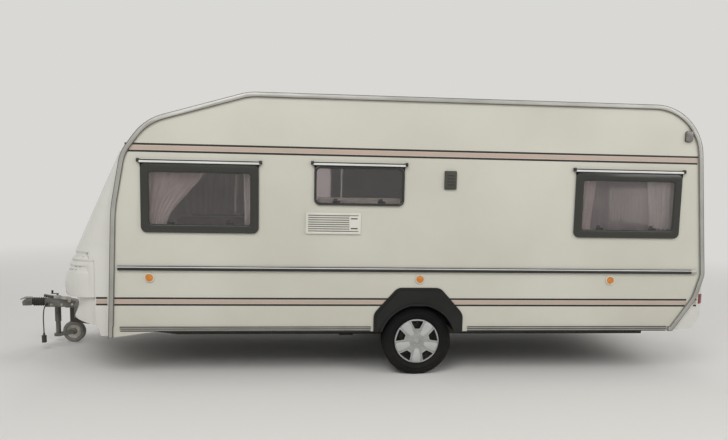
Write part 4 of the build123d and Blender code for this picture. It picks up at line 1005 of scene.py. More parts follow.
    def build(self) -> None:
        curve = bpy.data.curves.new("lead_cable", "CURVE")
        curve.dimensions = "3D"
        curve.bevel_depth = self.diameter / 2
        curve.bevel_resolution = 4
        curve.resolution_u = 12
        curve.use_fill_caps = True
        spline = curve.splines.new("NURBS")
        spline.points.add(len(self.route) - 1)
        for point, (out, z) in zip(spline.points, self.route):
            where = place(self.exit_a + self.heading[0] * out, self.exit_y + self.heading[1] * out, z)
            point.co = (*where, 1.0)
        spline.order_u = 3
        spline.use_endpoint_u = True
        curve.materials.append(self.shop.material(FINISHES["black_rubber"]))
        cable = bpy.data.objects.new("lead_cable", curve)
        bpy.context.scene.collection.objects.link(cable)
        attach(cable, ROOT)
        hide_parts("lead")


@dataclass
class Stripes(Assembly):
    """Film stripes along the walls, the door, the nose cheeks and the bumper's ends."""

    film_mm: float = 0.7
    line_mm: float = 16.0
    gap_mm: float = 4.0
    # Low z, high z, front a and rear a of each stripe pair
    rows: tuple = ((1913.2, 1986.5, 2478.0, -2480.0), (628.5, 700.0, 2588.0, -2470.0))
    door_gap: tuple[float, float] = (528.0, 1208.0)
    leaf: tuple[float, float] = (1164.0, 570.0)
    # Front a, rear a and half width of the cheeks and of the bumper's ends
    ends: tuple = (("cheek", 2738.0, 2645.0, 1125.0), ("bumper", -2545.0, -2575.0, 1123.0))

    def build(self) -> None:
        """Lays the stripes on walls, door, nose and bumper."""
        gap_rear, gap_front = self.door_gap
        for number, (low, high, front, rear) in enumerate(self.rows):
            for name, side, run, body in (
                ("left", 1, (front, rear), ROOT),
                ("right_front", -1, (front, gap_front), ROOT),
                ("right_rear", -1, (gap_rear, rear), ROOT),
                ("door", -1, self.leaf, "entry_door"),
            ):
                self.lay(f"{number}_{name}", side, run, (low, high), body=body)
        for name, front, rear, face in self.ends:
            for side_name, side in SIDES:
                self.lay(f"{name}_{side_name}", side, (front, rear), self.rows[-1][:2], face)

    def lay(
        self,
        name: str,
        side: int,
        run: tuple[float, float],
        levels: tuple[float, float],
        face: float = WALL_FACE,
        body: str = ROOT,
    ) -> None:
        """Lays one stripe pair with the band between.

        Args:
            name: Name of the stripe.
            side: 1 for the left side, else -1.
            run: Front and rear end.
            levels: Lower and upper edge.
            face: Distance of the carrying face from the middle.
            body: Body that carries it.
        """
        (front, rear), (low, high) = run, levels
        inner, outer = sorted((side * face, side * (face + self.film_mm)))
        inset = self.line_mm + self.gap_mm
        bands = ((low, low + self.line_mm, 0), (low + inset, high - inset, 1), (high - self.line_mm, high, 0))
        boxes = [((rear, inner, foot), (front, outer, top), 0.0, index) for foot, top, index in bands]
        self.shop.blocks(f"stripe_{name}", "wall_skin", boxes, finishes=(BROWN_FILM, ROSE_FILM), body=body)


@dataclass
class Rails(Assembly):
    """Edge, belt and skirt rails of both walls."""

    bead_mm: float = 5.0
    crown_mm: float = 1.6
    door_gap: tuple[float, float] = (524.0, 1212.0)
    # How deep a line lies in its rail, how far it stands out and its rounding
    line_mm: tuple[float, float, float] = (0.3, 0.8, 0.4)
    # Name, rear and front end, low and high z, distance of the rail's face from the middle, finish
    lines: tuple = (
        ("belt_black", -2488.0, 2552.0, 930.6, 954.5, 1155.0, BLACK_INSERT_AND_SLOT_SHADE),
        # Pale top of the belt rail, painted almost white as a highlight
        ("belt_bright", -2536.0, 2552.0, 955.0, 963.0, 1155.0, CORD_PAINTED_HIGHLIGHT),
        ("belt_shadow", -2488.0, 2552.0, 963.2, 970.5, 1155.0, SEAL_AND_SHADE),
        ("skirt_front_top", 419.0, 2543.0, 443.0, 450.5, 1147.0, SEAL_AND_SHADE),
        ("skirt_front_mid", 419.0, 2543.0, 427.0, 434.0, 1147.0, SEAL_AND_SHADE),
        ("skirt_rear_top", -2287.0, -442.0, 443.0, 450.5, 1147.0, SEAL_AND_SHADE),
        ("skirt_rear_mid", -2287.0, -442.0, 427.0, 434.0, 1147.0, SEAL_AND_SHADE),
        # The foot lines are painted shadow along the lower edge of the walls
        ("skirt_front_foot", 419.0, 2543.0, 405.4, 413.0, 1135.0, SEAL_AND_SHADE),
        ("skirt_rear_foot", -2287.0, -442.0, 405.4, 413.0, 1135.0, SEAL_AND_SHADE),
    )

    def build(self) -> None:
        """Shapes the rails and lays their lines."""
        self.crown_edges()
        self.shop.softened("side_rails", 3.0)
        sunk, proud, radius = self.line_mm
        gap_rear, gap_front = self.door_gap
        for name, rear, front, low, high, face, finish in self.lines:
            for side_name, side in SIDES:
                runs = [(rear, front)]
                if side < 0 and rear < gap_rear < front:
                    runs = [(rear, gap_rear), (gap_front, front)]
                inner, outer = sorted((side * (face - sunk), side * (face + proud)))
                boxes = [((start, inner, low), (end, outer, high), radius) for start, end in runs]
                self.shop.blocks(f"{name}_{side_name}", "rail_aluminium", boxes, finishes=(finish,))

    def crown_edges(self) -> None:
        """Crowns the edge rails between two dark beads."""
        shape = self.shop.copy_of("edge_rails")
        reach = max(abs(vert.co.y) for vert in shape.verts) - SKIN_M
        outer = [face for face in shape.faces if all(abs(vert.co.y) > reach for vert in face.verts)]
        inset = {"thickness": self.bead_mm / 1000, "depth": self.crown_mm / 1000, "use_even_offset": True}
        for face in bmesh.ops.inset_region(shape, faces=outer, **inset)["faces"]:
            face.material_index = 1
        bmesh.ops.inset_region(shape, faces=outer, **inset)
        finishes = (FINISHES["rail_aluminium"], BEAD)
        self.shop.piece("edge_rails_shaped", shape, "rail_aluminium", finishes, nodes=("edge_rails",))


@dataclass(frozen=True)
class Opening:
    """One window: axes at the middle of its face, size and border in mm."""

    name: str
    stand: Matrix
    length: float
    height: float
    border: float


@dataclass
class Windows(Assembly):
    """Side and end windows: borders, seals, hinge rails, end knobs, latches and the kitchen sill."""

    # Name, rear a, low z, length, height, border and whether the right wall has one too
    rows: tuple = (
        ("lounge", 1388.0, 1250.0, 969.0, 572.0, 65.0, True),
        ("bed", -2343.0, 1250.0, 977.0, 572.0, 65.0, True),
        ("kitchen", 153.0, 1499.7, 772.0, 330.3, 14.0, False),
    )
    end_length: float = 1560.0
    end_z: float = 1500.06
    end_border: float = 65.0
    # Name, a of the face, lean and turn in degrees, height
    ends: tuple = (("nose", 2742.45, 26.893, -90, 561.1), ("rear", -2565.36, 5.088, 90, 520.4))
    corner_mm: float = 50.0
    pane_face: float = 11.0
    seal_mm: float = 7.0
    seal_form: tuple[float, float] = (4.0, 1.5)
    # How far the hinge rail reaches past the window's ends, and the drip lines stay back from its own
    rail_reach: float = 15.0
    line_back: float = 2.0
    line_foot: float = 0.5
    line_soft: float = 0.3
    # Low and high edge of each drip line above the window, and how far it stands out
    drip_lines: tuple = ((0.3, 7.3, 24.7), (23.3, 28.3, 24.7), (28.3, 32.3, 14.0))
    # Boxes from the rail's end at the window's top, and from the foot of the glass
    knob: tuple = ((-12.0, 0.0, 8.3), (14.0, 25.8, 40.3), 5.0)
    latch: tuple = (
        ((-32.0, -14.0, 6.0), (32.0, 5.0, 26.0), 3.0),
        ((-10.0, -20.0, 10.0), (24.0, -13.0, 44.0), 3.0),
    )
    latch_shares: tuple[float, float] = (-0.25, 0.25)
    without_knobs: tuple[str, ...] = ("nose",)
    # Length and height of the blocks that square the two top corners up to the hinge rail
    corner_fill: tuple = ((22.0, 22.0), (36.0, 9.0), (9.0, 36.0))
    fill_out: tuple[float, float] = (0.5, 17.4)
    fill_lap: float = 0.2
    fill_soft: float = 0.5
    sill: tuple = ((183.0, 1075.0, 1514.7), (895.0, 1104.0, 1565.76), 6.0)

    def build(self) -> None:
        """Builds the pieces of all windows."""
        self.shop.softened("window_frames", 4.0, segments=3)
        # The hinge rails take the near-white finish: painted highlight
        self.shop.softened("window_rails", 4.0, segments=3, finishes=(CORD_PAINTED_HIGHLIGHT,))
        for opening in self.openings():
            self.hardware(opening)
        self.shop.blocks("kitchen_sill", "vent_white", [self.sill])

    def openings(self) -> list[Opening]:
        """Lists every window with its axes.

        Returns:
            The windows of both walls and both ends.
        """
        found = []
        for name, rear_a, low_z, length, height, border, both in self.rows:
            for side_name, side in SIDES if both else SIDES[:1]:
                stand = stand_on_wall(side, rear_a + length / 2, low_z + height / 2)
                found.append(Opening(f"{name}_{side_name}", stand, length, height, border))
        for name, face_a, lean, turn, height in self.ends:
            stand = (
                Matrix.Translation(place(face_a, 0, self.end_z))
                @ Matrix.Rotation(math.radians(turn), 4, "Z")
                @ Matrix.Rotation(math.radians(lean), 4, "X")
            )
            found.append(Opening(name, stand, self.end_length, height, self.end_border))
        return found

    def hardware(self, opening: Opening) -> None:
        """Adds seal, drip lines, end knobs, square corners and latches of one window.

        Args:
            opening: The window.
        """
        name, stand, border = opening.name, opening.stand, opening.border
        side, top = opening.length / 2, opening.height / 2
        pane = stand @ Matrix.Translation((0, self.pane_face / 1000, 0))
        inner_corner = max(self.corner_mm - border / 2, self.corner_mm / 2)
        inner = (opening.length - 2 * border, opening.height - 2 * border)
        depth, soft = self.seal_form
        form = (depth, inner_corner, self.seal_mm, soft)
        self.shop.panel(f"window_seal_{name}", "black_rubber", pane, inner, form, finishes=(SEAL_AND_SHADE,))

        end = side + self.rail_reach
        reach = end - self.line_back
        lines = [
            ((-reach, self.line_foot, top + low), (reach, out, top + high), self.line_soft)
            for low, high, out in self.drip_lines
        ]
        ways = () if name in self.without_knobs else (-1, 1)
        knobs = [shifted(self.knob, (way * end, 0.0, top)) for way in ways]
        drip = f"window_drip_{name}"
        self.shop.blocks(drip, "black_rubber", lines + knobs, stand, finishes=(BLACK_INSERT_AND_SLOT_SHADE,))

        inside, outside = self.fill_out
        fills = []
        for way in (-1, 1):
            for reach, drop in self.corner_fill:
                near, far = sorted((way * side, way * (side - reach)))
                high = (far, outside, top + self.fill_lap)
                fills.append(((near, inside, top - drop), high, self.fill_soft))
        self.shop.blocks(f"window_corners_{name}", "window_border", fills, stand)

        latches = [
            shifted(box, (share * opening.length, 0.0, border - top))
            for share in self.latch_shares
            for box in self.latch
        ]
        self.shop.blocks(f"window_latches_{name}", "black_rubber", latches, stand)


@dataclass(frozen=True)
class Cloth:
    """One hung cloth: where its top and bottom begin and end along the window, its folds and its cut."""

    name: str
    # Shares of the window's length from its front, at the top and at the bottom
    top: tuple[float, float]
    foot: tuple[float, float]
    folds: int
    depth_mm: float
    layer_mm: float
    drop_mm: tuple[float, float]
    finish: Finish
    fringe: bool = False


@dataclass
class Curtains(Assembly):
    """Drapes and nets inside the bordered side windows, hung from their rails."""

    rail_z: float = 1889.0
    middle_y: float = 1083.0
    columns: int = 160
    rows: int = 24
    # Share of a fold by which its place wavers, and share of its depth that comes and goes
    waver: float = 0.12
    fade: float = 0.25
    # Share of the drop where a fringe begins, its height in mm and its waves
    fringe: tuple[float, float, float] = (0.93, 8.0, 40.0)
    # Front a and length of the hanging width behind each window
    lounge: tuple[float, float] = (2390.0, 1035.0)
    bed: tuple[float, float] = (-1332.0, 1044.0)
    lounge_cloths: tuple = (
        Cloth("drape", (0.01, 0.58), (0.04, 0.22), 9, 9.5, 0.0, (0, 598), FINISHES["curtain_fabric"]),
        Cloth("strip", (0.84, 0.99), (0.85, 0.985), 3, 8.0, 0.0, (0, 602), LINING),
    )
    # The right-hand pair is drawn shut, which keeps the lounge as dim as the photograph shows it
    far_lounge_cloths: tuple = (
        Cloth("drape", (0.01, 0.57), (0.02, 0.555), 9, 9.5, 0.0, (0, 598), FINISHES["curtain_fabric"]),
        Cloth("strip", (0.575, 0.99), (0.56, 0.985), 7, 8.0, 0.0, (0, 602), FINISHES["curtain_fabric"]),
    )
    bed_cloths: tuple = (
        Cloth("net", (0.01, 0.99), (0.01, 0.99), 34, 2.5, 9.0, (0, 590), NET),
        Cloth("front_drape", (0.01, 0.24), (0.02, 0.2), 5, 7.0, -4.0, (0, 598), FINISHES["curtain_fabric"]),
        Cloth("rear_drape", (0.68, 0.99), (0.72, 0.985), 6, 7.0, -4.0, (0, 560), LINING, True),
    )

    def build(self) -> None:
        """Hangs every cloth on both sides."""
        hidden: tuple[str, ...] = ("curtains",)
        for window, (front_a, length), near_cloths, far_cloths in (
            ("lounge", self.lounge, self.lounge_cloths, self.far_lounge_cloths),
            ("bed", self.bed, self.bed_cloths, self.bed_cloths),
        ):
            for side_name, side in SIDES:
                for cloth in near_cloths if side > 0 else far_cloths:
                    name = f"curtain_{window}_{cloth.name}_{side_name}"
                    self.hang(name, cloth, (front_a, length, side), hidden)
                    hidden = ()

    def hang(
        self,
        name: str,
        cloth: Cloth,
        place_of: tuple[float, float, int],
        hidden: tuple[str, ...],
    ) -> None:
        """Folds one cloth behind its window.

        Args:
            name: Name of the piece.
            cloth: Its cut and folds.
            place_of: Front a, hanging length and side.
            hidden: CAD nodes that it stands for.
        """
        front_a, length, side = place_of
        fringe_from, fringe_mm, fringe_waves = self.fringe
        shape = bmesh.new()
        bmesh.ops.create_grid(shape, x_segments=self.columns, y_segments=self.rows, size=0.5)
        top_z, foot_z = (self.rail_z - drop for drop in cloth.drop_mm)
        for vert in shape.verts:
            across = vert.co.x + 0.5
            down = 0.5 - vert.co.y
            eased = down * down * (3 - 2 * down)
            start = cloth.top[0] + (cloth.foot[0] - cloth.top[0]) * eased
            end = cloth.top[1] + (cloth.foot[1] - cloth.top[1]) * eased
            phase = cloth.folds * across + self.waver * math.sin(9 * across + 2.5 * down)
            deep = 1 - self.fade + self.fade * math.sin(5.3 * across + 1.0)
            fold = math.sin(math.tau * phase) * deep
            ripple = 0.0
            if cloth.fringe and down > fringe_from:
                ripple = fringe_mm * math.sin(fringe_waves * across)
            where_y = side * (self.middle_y - cloth.layer_mm + cloth.depth_mm * fold)
            where_a = front_a - length * (start + (end - start) * across)
            vert.co = place(where_a, where_y, top_z + (foot_z - top_z) * down + ripple)
        area = sum(face.calc_area() for face in shape.faces)
        piece = self.shop.piece(name, shape, "curtain_fabric", (cloth.finish,), nodes=hidden)


@dataclass
class Cushions(Assembly):
    """Seat cushions, backrests and the mattress."""

    crown: float = 0.1
    pull: float = 0.012
    edge_mm: float = 26.0
    # Edges longer than this are cut, and into how many more
    long_m: float = 0.07
    cuts: int = 7
    # Name, low and high a, low and high y, low and high z, axis of the crown
    rows: tuple = (
        ("seat_left", (1492, 2468), (492, 973), (850.5, 968), 2),
        ("seat_right", (1492, 2468), (-973, -492), (850.5, 968), 2),
        ("back_left", (1492, 2468), (981, 1088), (850.5, 1268), 1),
        ("back_right", (1492, 2468), (-1088, -981), (850.5, 1268), 1),
        ("mattress", (-2218, -912), (-1086, 1086), (800.5, 928), 2),
    )

    def build(self) -> None:
        """Makes every cushion as a crowned closed form."""
        hidden: tuple[str, ...] = ("cushions",)
        for name, along, across, heights, axis in self.rows:
            low = place(along[0], across[0], heights[0])
            high = place(along[1], across[1], heights[1])
            shape = bmesh.new()
            add_block(shape, low, high, self.edge_mm)
            edges = [edge for edge in shape.edges if edge.calc_length() > self.long_m]
            bmesh.ops.subdivide_edges(shape, edges=edges, cuts=self.cuts, use_grid_fill=True)
            middle, half = (low + high) / 2, (high - low) / 2
            for vert in shape.verts:
                share = [(vert.co[i] - middle[i]) / half[i] for i in range(3)]
                others = [i for i in range(3) if i != axis]
                full = (1 - share[others[0]] ** 2) * (1 - share[others[1]] ** 2)
                if axis != 2 or share[2] > 0:
                    vert.co[axis] = middle[axis] + half[axis] * share[axis] * (1 - self.crown * (1 - full))
                for i, j in (others, others[::-1]):
                    vert.co[i] = middle[i] + half[i] * share[i] * (1 - self.pull * (1 - share[j] ** 2))
            piece = self.shop.piece(f"cushion_{name}", shape, "cushion_fabric", nodes=hidden)
            hidden = ()


@dataclass
class RoadWheels(Assembly):
    """Tyres with tread, wheel trims with hub caps and valves."""

    wheel_y: float = 1000.0
    wheel_z: float = 305.0
    steps: int = 72
    cap_steps: int = 48
    spokes: int = 5
    block_gap_mm: float = 2.6
    block_mm: float = 6.5
    tread_radius: float = 298.5
    # Distance outwards and radius of the outer sidewall, from the tread to the bead
    sidewall: tuple = (
        (80.5, 296.0), (84.5, 290.0), (87.5, 280.0), (89.5, 272.0), (91.8, 270.0), (91.8, 265.5),
        (90.0, 263.5), (90.8, 250.0), (92.4, 247.0), (92.4, 240.0), (90.5, 237.5), (89.0, 222.0),
        (85.0, 208.0), (79.0, 199.0), (80.0, 195.5), (76.0, 190.5), (68.5, 183.0),
    )
    # Distances of the grooves between the rows of blocks from the middle of the tyre
    tread: tuple = (-77.0, -51.0, -26.0, 0.0, 26.0, 51.0, 77.0)
    # Distance outwards and radius of the hub cap and of the lip of the trim
    cap: tuple = (
        (97.5, 46.0), (100.5, 45.0), (101.0, 41.0), (99.0, 39.0), (100.0, 27.0), (105.0, 22.0),
        (107.0, 12.0), (107.5, 0.0), (97.0, 0.0), (97.0, 46.0),
    )
    rim_lip: tuple = ((86.0, 190.5), (91.5, 191.0), (92.6, 193.5), (91.5, 196.5), (86.0, 197.4))
    # Radius and distance outwards of the trim's face
    dish: tuple = ((0.0, 98.0), (45.0, 98.0), (62.0, 95.0), (110.0, 100.0), (160.0, 96.0), (197.5, 88.0))
    dish_sink_mm: float = 0.6
    # Corners across and away from the axle
    opening: tuple = (
        (-27.0, 108.0), (-66.5, 185.0), (-44.0, 190.0), (0.0, 191.5), (44.0, 190.0), (66.5, 185.0),
        (27.0, 108.0),
    )
    spoke: tuple = ((-17.0, 66.0), (-37.0, 140.0), (-36.0, 187.0), (36.0, 187.0), (37.0, 140.0), (17.0, 66.0))
    # Corner radius, width of the lip or 0 for a plate, and height of the relief
    opening_form: tuple[float, float, float] = (9.0, 6.0, 6.5)
    spoke_form: tuple[float, float, float] = (7.0, 0.0, 5.5)
    relief_steps: int = 4
    relief_soft_mm: float = 1.4
    trim_soft_mm: float = 2.6
    # Distances of the valve's foot, neck and tip from the middle of the wheel, and its radius on it
    valve_out: tuple[float, float, float] = (60.0, 90.0, 98.0)
    valve_radius: float = 168.0
    # Radii at both ends of the valve's stem and of its cap
    stem_mm: tuple[float, float] = (5.5, 4.5)
    stem_cap_mm: tuple[float, float] = (5.0, 5.0)

    def build(self) -> None:
        """Builds both wheels."""
        for name, side in SIDES:
            centre = place(0, side * self.wheel_y, self.wheel_z)
            body = f"wheel_{name}"
            self.tyre(name, side, centre)
            self.shop.softened(f"wheel_trim_{name}", self.trim_soft_mm, body)
            shape = bmesh.new()
            add_spun(shape, self.cap, centre, side, self.cap_steps)
            add_spun(shape, self.rim_lip, centre, side, self.steps)
            self.shop.piece(f"hub_cap_{name}", shape, "trim_silver", body=body)
            shape = bmesh.new()
            pitch = 360 // self.spokes
            for turn in range(0, 360, pitch):
                self.relief(shape, self.opening, turn, *self.opening_form)
                self.relief(shape, self.spoke, turn + pitch / 2, *self.spoke_form)
            shape.transform(Matrix.Translation(centre) @ facing(side))
            # The lips and ridges take the paler lacquer: painted highlight
            self.shop.piece(f"trim_relief_{name}", shape, "trim_silver", (LIP_PAINTED_HIGHLIGHT,), body)
            height = self.wheel_z + self.valve_radius
            foot, neck, tip = ((0, side * (self.wheel_y + out), height) for out in self.valve_out)
            rows = ((foot, neck, *self.stem_mm), (neck, tip, *self.stem_cap_mm))
            self.shop.rods(f"valve_{name}", "black_rubber", rows, body=body)

    def relief(
        self,
        shape: bmesh.types.BMesh,
        outline: Sequence[tuple[float, float]],
        turn_deg: float,
        corner_mm: float,
        border_mm: float,
        height_mm: float,
    ) -> None:
        """Raises a rounded plate, or a lip where it has a border, from the dished face of a trim.

        Args:
            shape: Mesh that takes it, with the axle along y.
            outline: Corners of its outline across and away from the axle in mm.
            turn_deg: Turn about the axle.
            corner_mm: Radius of its corners.
            border_mm: Width of the lip, or 0 for a plate.
            height_mm: Height above the face.
        """
        part = bmesh.new()
        part.faces.new([part.verts.new((across / 1000, 0, up / 1000)) for across, up in outline])
        bevel(part, part.verts[:], corner_mm, self.relief_steps, "VERTICES")
        if border_mm:
            cut_frame(part, part.faces[:], border_mm)
        for radius, _ in self.dish[2:-1]:
            cut_flat(part, Vector((0, 0, radius / 1000)), Vector((0, 0, 1)))
        raised = bmesh.ops.extrude_face_region(part, geom=part.faces[:])["geom"]
        top = [item for item in raised if isinstance(item, bmesh.types.BMVert)]
        bmesh.ops.translate(part, verts=top, vec=(0, height_mm / 1000, 0))
        bmesh.ops.recalc_face_normals(part, faces=part.faces)
        round_edges(part, self.relief_soft_mm)
        for vert in part.verts:
            vert.co.y += self.face_at(vert.co.xz.length * 1000) / 1000
        part.transform(Matrix.Rotation(math.radians(turn_deg), 4, "Y"))
        mesh = bpy.data.meshes.new("relief")
        part.to_mesh(mesh)
        part.free()
        shape.from_mesh(mesh)
        bpy.data.meshes.remove(mesh)

    def face_at(self, radius_mm: float) -> float:
        """Finds how far out the trim's face lies, less a little that the relief is sunk in it.

        Args:
            radius_mm: Distance from the axle.

        Returns:
            Distance outwards in mm.
        """
        for (inner, low), (outer, high) in zip(self.dish, self.dish[1:]):
            if radius_mm <= outer:
                return low + (high - low) * (radius_mm - inner) / (outer - inner) - self.dish_sink_mm
        return self.dish[-1][1]

    def tyre(self, name: str, side: int, centre: Vector) -> None:
        """Spins one tyre and raises its tread blocks.

        Args:
            name: Name of the side.
            side: 1 for the left wheel, else -1.
            centre: Middle of the wheel.
        """
        shape = bmesh.new()
        inner = [(-out, radius) for out, radius in reversed(self.sidewall)]
        rows = [*inner, *((out, self.tread_radius) for out in self.tread), *self.sidewall]
        reach = self.tread_radius / 1000 - SKIN_M
        road = [
            face
            for face in add_spun(shape, rows, centre, side, self.steps)
            if all((vert.co - centre).xz.length > reach for vert in face.verts)
        ]
        bmesh.ops.inset_individual(
            shape,
            faces=road,
            thickness=self.block_gap_mm / 1000,
            depth=self.block_mm / 1000,
            use_even_offset=True,
        )
        tyre = f"tyre_{name}"
        self.shop.piece(f"{tyre}_tread", shape, "tyre_rubber", body=f"wheel_{name}", nodes=(tyre,))


@dataclass
class WallFittings(Assembly):
    """Refrigerator vent, flue cover, side reflectors and marker lamps."""

    # Node, rounding and its steps
    soft: tuple = (("fridge_vent", 1.2, 2), ("flue_cover", 2.5, 2), ("marker_lamps", 5.0, 3))
    # Ends of the slots along the wall, their distances out of its face, half height and rounding
    louvre_slot: tuple = ((545.0, 971.0), (4.5, 11.5), 4.6, 0.8)
    louvre_z: tuple = tuple(1345.7 + 19.0 * row for row in (-3.5, -2.5, -1.5, -0.5, 0.5, 1.5, 2.5, 3.5))
    latch_middle: tuple[float, float] = (580.0, 1345.7)
    latch_size: tuple[float, float] = (86.0, 128.0)
    latch_out: float = 3.0
    latch_form: tuple = (14.0, 6.0, 0.0, 2.0)
    latch_slot: tuple = ((551.0, 609.0), (16.5, 17.6), 5.0, 0.4)
    latch_z: tuple = (1303.7, 1387.7)
    flue_slot: tuple = ((-280.0, -212.0), (20.0, 22.6), 5.0, 1.0)
    flue_z: tuple = (1692.0, 1718.0, 1744.0, 1770.0)
    reflector_places: tuple[float, float, float] = (2296.0, -4.0, -1732.0)
    reflector_z: float = 868.0
    reflector_steps: int = 40
    # Distance outwards and radius of a reflector's ring and lens
    ring: tuple = ((0.0, 33.0), (10.0, 33.0), (11.5, 34.5), (11.5, 37.5), (9.0, 40.0), (0.0, 41.0))
    dome: tuple = (
        (8.5, 32.0), (10.5, 28.0), (11.0, 20.0), (12.5, 18.0), (12.5, 9.0), (13.5, 7.0), (13.5, 0.0),
        (8.5, 0.0),
    )
    marker_middle: tuple[float, float] = (-2379.0, 2156.0)
    marker_size: tuple[float, float] = (68.0, 98.0)
    marker_form: tuple = (5.0, 18.0, 0.0, 2.0)

    def build(self) -> None:
        """Builds the fittings of both walls."""
        for node, radius, segments in self.soft:
            self.shop.softened(node, radius, segments=segments)
        # The dark slots of the vent, its latch and the flue cover are painted shade of their openings
        self.slots("vent_slots", self.louvre_slot, self.louvre_z, LOUVRE)
        latch = stand_on_wall(1, *self.latch_middle, self.latch_out)
        self.shop.panel("vent_latch", "vent_white", latch, self.latch_size, self.latch_form)
        self.slots("vent_latch_slots", self.latch_slot, self.latch_z, SEAL_AND_SHADE)
        self.slots("flue_slots", self.flue_slot, self.flue_z, BLACK_INSERT_AND_SLOT_SHADE)
        kinds = (("rings", self.ring, "vent_white"), ("lenses", self.dome, "amber_lens"))
        for side_name, side in SIDES:
            for name, profile, slot in kinds:
                shape = bmesh.new()
                for a in self.reflector_places:
                    centre = place(a, side * WALL_FACE, self.reflector_z)
                    add_spun(shape, profile, centre, side, self.reflector_steps)
                self.shop.piece(f"reflector_{name}_{side_name}", shape, slot)
        for side_name, side in SIDES:
            name, stand = f"marker_base_{side_name}", stand_on_wall(side, *self.marker_middle)
            size, form = self.marker_size, self.marker_form
            self.shop.panel(name, "black_rubber", stand, size, form, finishes=(SEAL_AND_SHADE,))

    def slots(self, name: str, form: tuple, heights: Sequence[float], finish: Finish) -> None:
        """Adds a row of dark slots to the left wall, painted shade where their openings are.

        Args:
            name: Name of the piece.
            form: Ends along the wall, distances out of its face, half height and rounding of a slot.
            heights: Middle of each slot.
            finish: Finish of the slots.
        """
        (rear, front), (inner, outer), half, radius = form
        boxes = [
            ((rear, WALL_FACE + inner, z - half), (front, WALL_FACE + outer, z + half), radius)
            for z in heights
        ]
        self.shop.blocks(name, "black_rubber", boxes, finishes=(finish,))


@dataclass
class RearEnd(Assembly):
    """Tail lamps with their lenses, corner lenses and the blank plate."""

    face_a: float = -2647.0
    lens_a: float = -2658.5
    plate_a: float = -2655.0
    lamp_middle: tuple[float, float] = (955.0, 722.5)
    bezel_size: tuple[float, float] = (206.0, 151.0)
    bar_size: tuple[float, float] = (180.0, 3.0)
    bar_out: float = 11.0
    bar_z: float = 22.0
    lens_size: tuple[float, float] = (176.0, 36.0)
    # Depth, corner radius, width of the frame and softness of the edges
    bezel_form: tuple = (9.0, 20.0, 9.0, 2.5)
    bar_form: tuple = (1.8, 1.0)
    lens_form: tuple = (1.2, 6.0, 0.0, 0.4)
    plate_form: tuple = (3.0, 10.0, 9.0, 1.0)
    # Name, height over the lamp's middle, slot and finish of the outer lenses
    lenses: tuple = (
        ("top", 44.0, "amber_lens", FINISHES["amber_lens"]),
        ("foot", -44.0, "marker_lens", CLEAR_LENS),
    )
    plate_size: tuple[float, float] = (540.0, 130.0)
    plate_z: float = 720.0
    screw_y: float = 180.0
    screw_mm: float = 3.0
    # Radii at both ends and sides of a screw's head
    screw: tuple[float, float, int] = (7.0, 5.5, 20)
    corner_centre: tuple[float, float] = (-2576.5, 1053.0)
    # Radius and height of the corner lens, start and length of its sweep in degrees
    corner_profile: tuple = ((69.0, 650.0), (76.0, 658.0), (76.0, 737.0), (69.0, 745.0))
    corner_sweep: tuple[float, float] = (12.0, 66.0)
    corner_steps: int = 14

    def stand(self, a: float, y: float, z: float) -> Matrix:
        """Axes on a face that looks to the rear: y outwards, z up.

        Args:
            a: Distance of the face forward of the axle.
            y: Distance to the left of the middle.
            z: Height.

        Returns:
            The matrix.
        """
        return Matrix.Translation(place(a, y, z)) @ Matrix.Rotation(math.radians(90), 4, "Z")

    def build(self) -> None:
        """Builds the rear pieces."""
        self.shop.softened("tail_lamps", 4.0)
        self.shop.softened("plate_holder", 2.0)
        middle_y, middle_z = self.lamp_middle
        start, sweep = self.corner_sweep
        start = math.radians(start)
        for side_name, side in SIDES:
            shape = bmesh.new()
            stand = self.stand(self.face_a, side * middle_y, middle_z)
            add_panel(shape, stand, self.bezel_size, *self.bezel_form)
            for z in (-self.bar_z, self.bar_z):
                bar = stand @ Matrix.Translation((0, self.bar_out / 1000, z / 1000))
                add_panel(shape, bar, self.bar_size, *self.bar_form)
            self.shop.piece(f"tail_lamp_bezel_{side_name}", shape, "black_rubber")
            for name, z, slot, finish in self.lenses:
                name = f"tail_lamp_{name}_{side_name}"
                lens = self.stand(self.lens_a, side * middle_y, middle_z + z)
                self.shop.panel(name, slot, lens, self.lens_size, self.lens_form, finishes=(finish,))
            shape = bmesh.new()
            centre = place(self.corner_centre[0], side * self.corner_centre[1], 0.0)
            heading = Vector((-math.sin(start), side * math.cos(start), 0))
            add_arc(shape, self.corner_profile, centre, heading, side * sweep, self.corner_steps)
            self.shop.piece(f"corner_lens_{side_name}", shape, "red_lens")
        border = self.stand(self.plate_a, 0, self.plate_z)
        self.shop.panel("plate_border", "black_rubber", border, self.plate_size, self.plate_form)
        rows = [
            ((self.plate_a, y, middle_z), (self.plate_a - self.screw_mm, y, middle_z), *self.screw)
            for y in (-self.screw_y, self.screw_y)
        ]
        self.shop.rods("plate_screws", "bright_steel", rows)


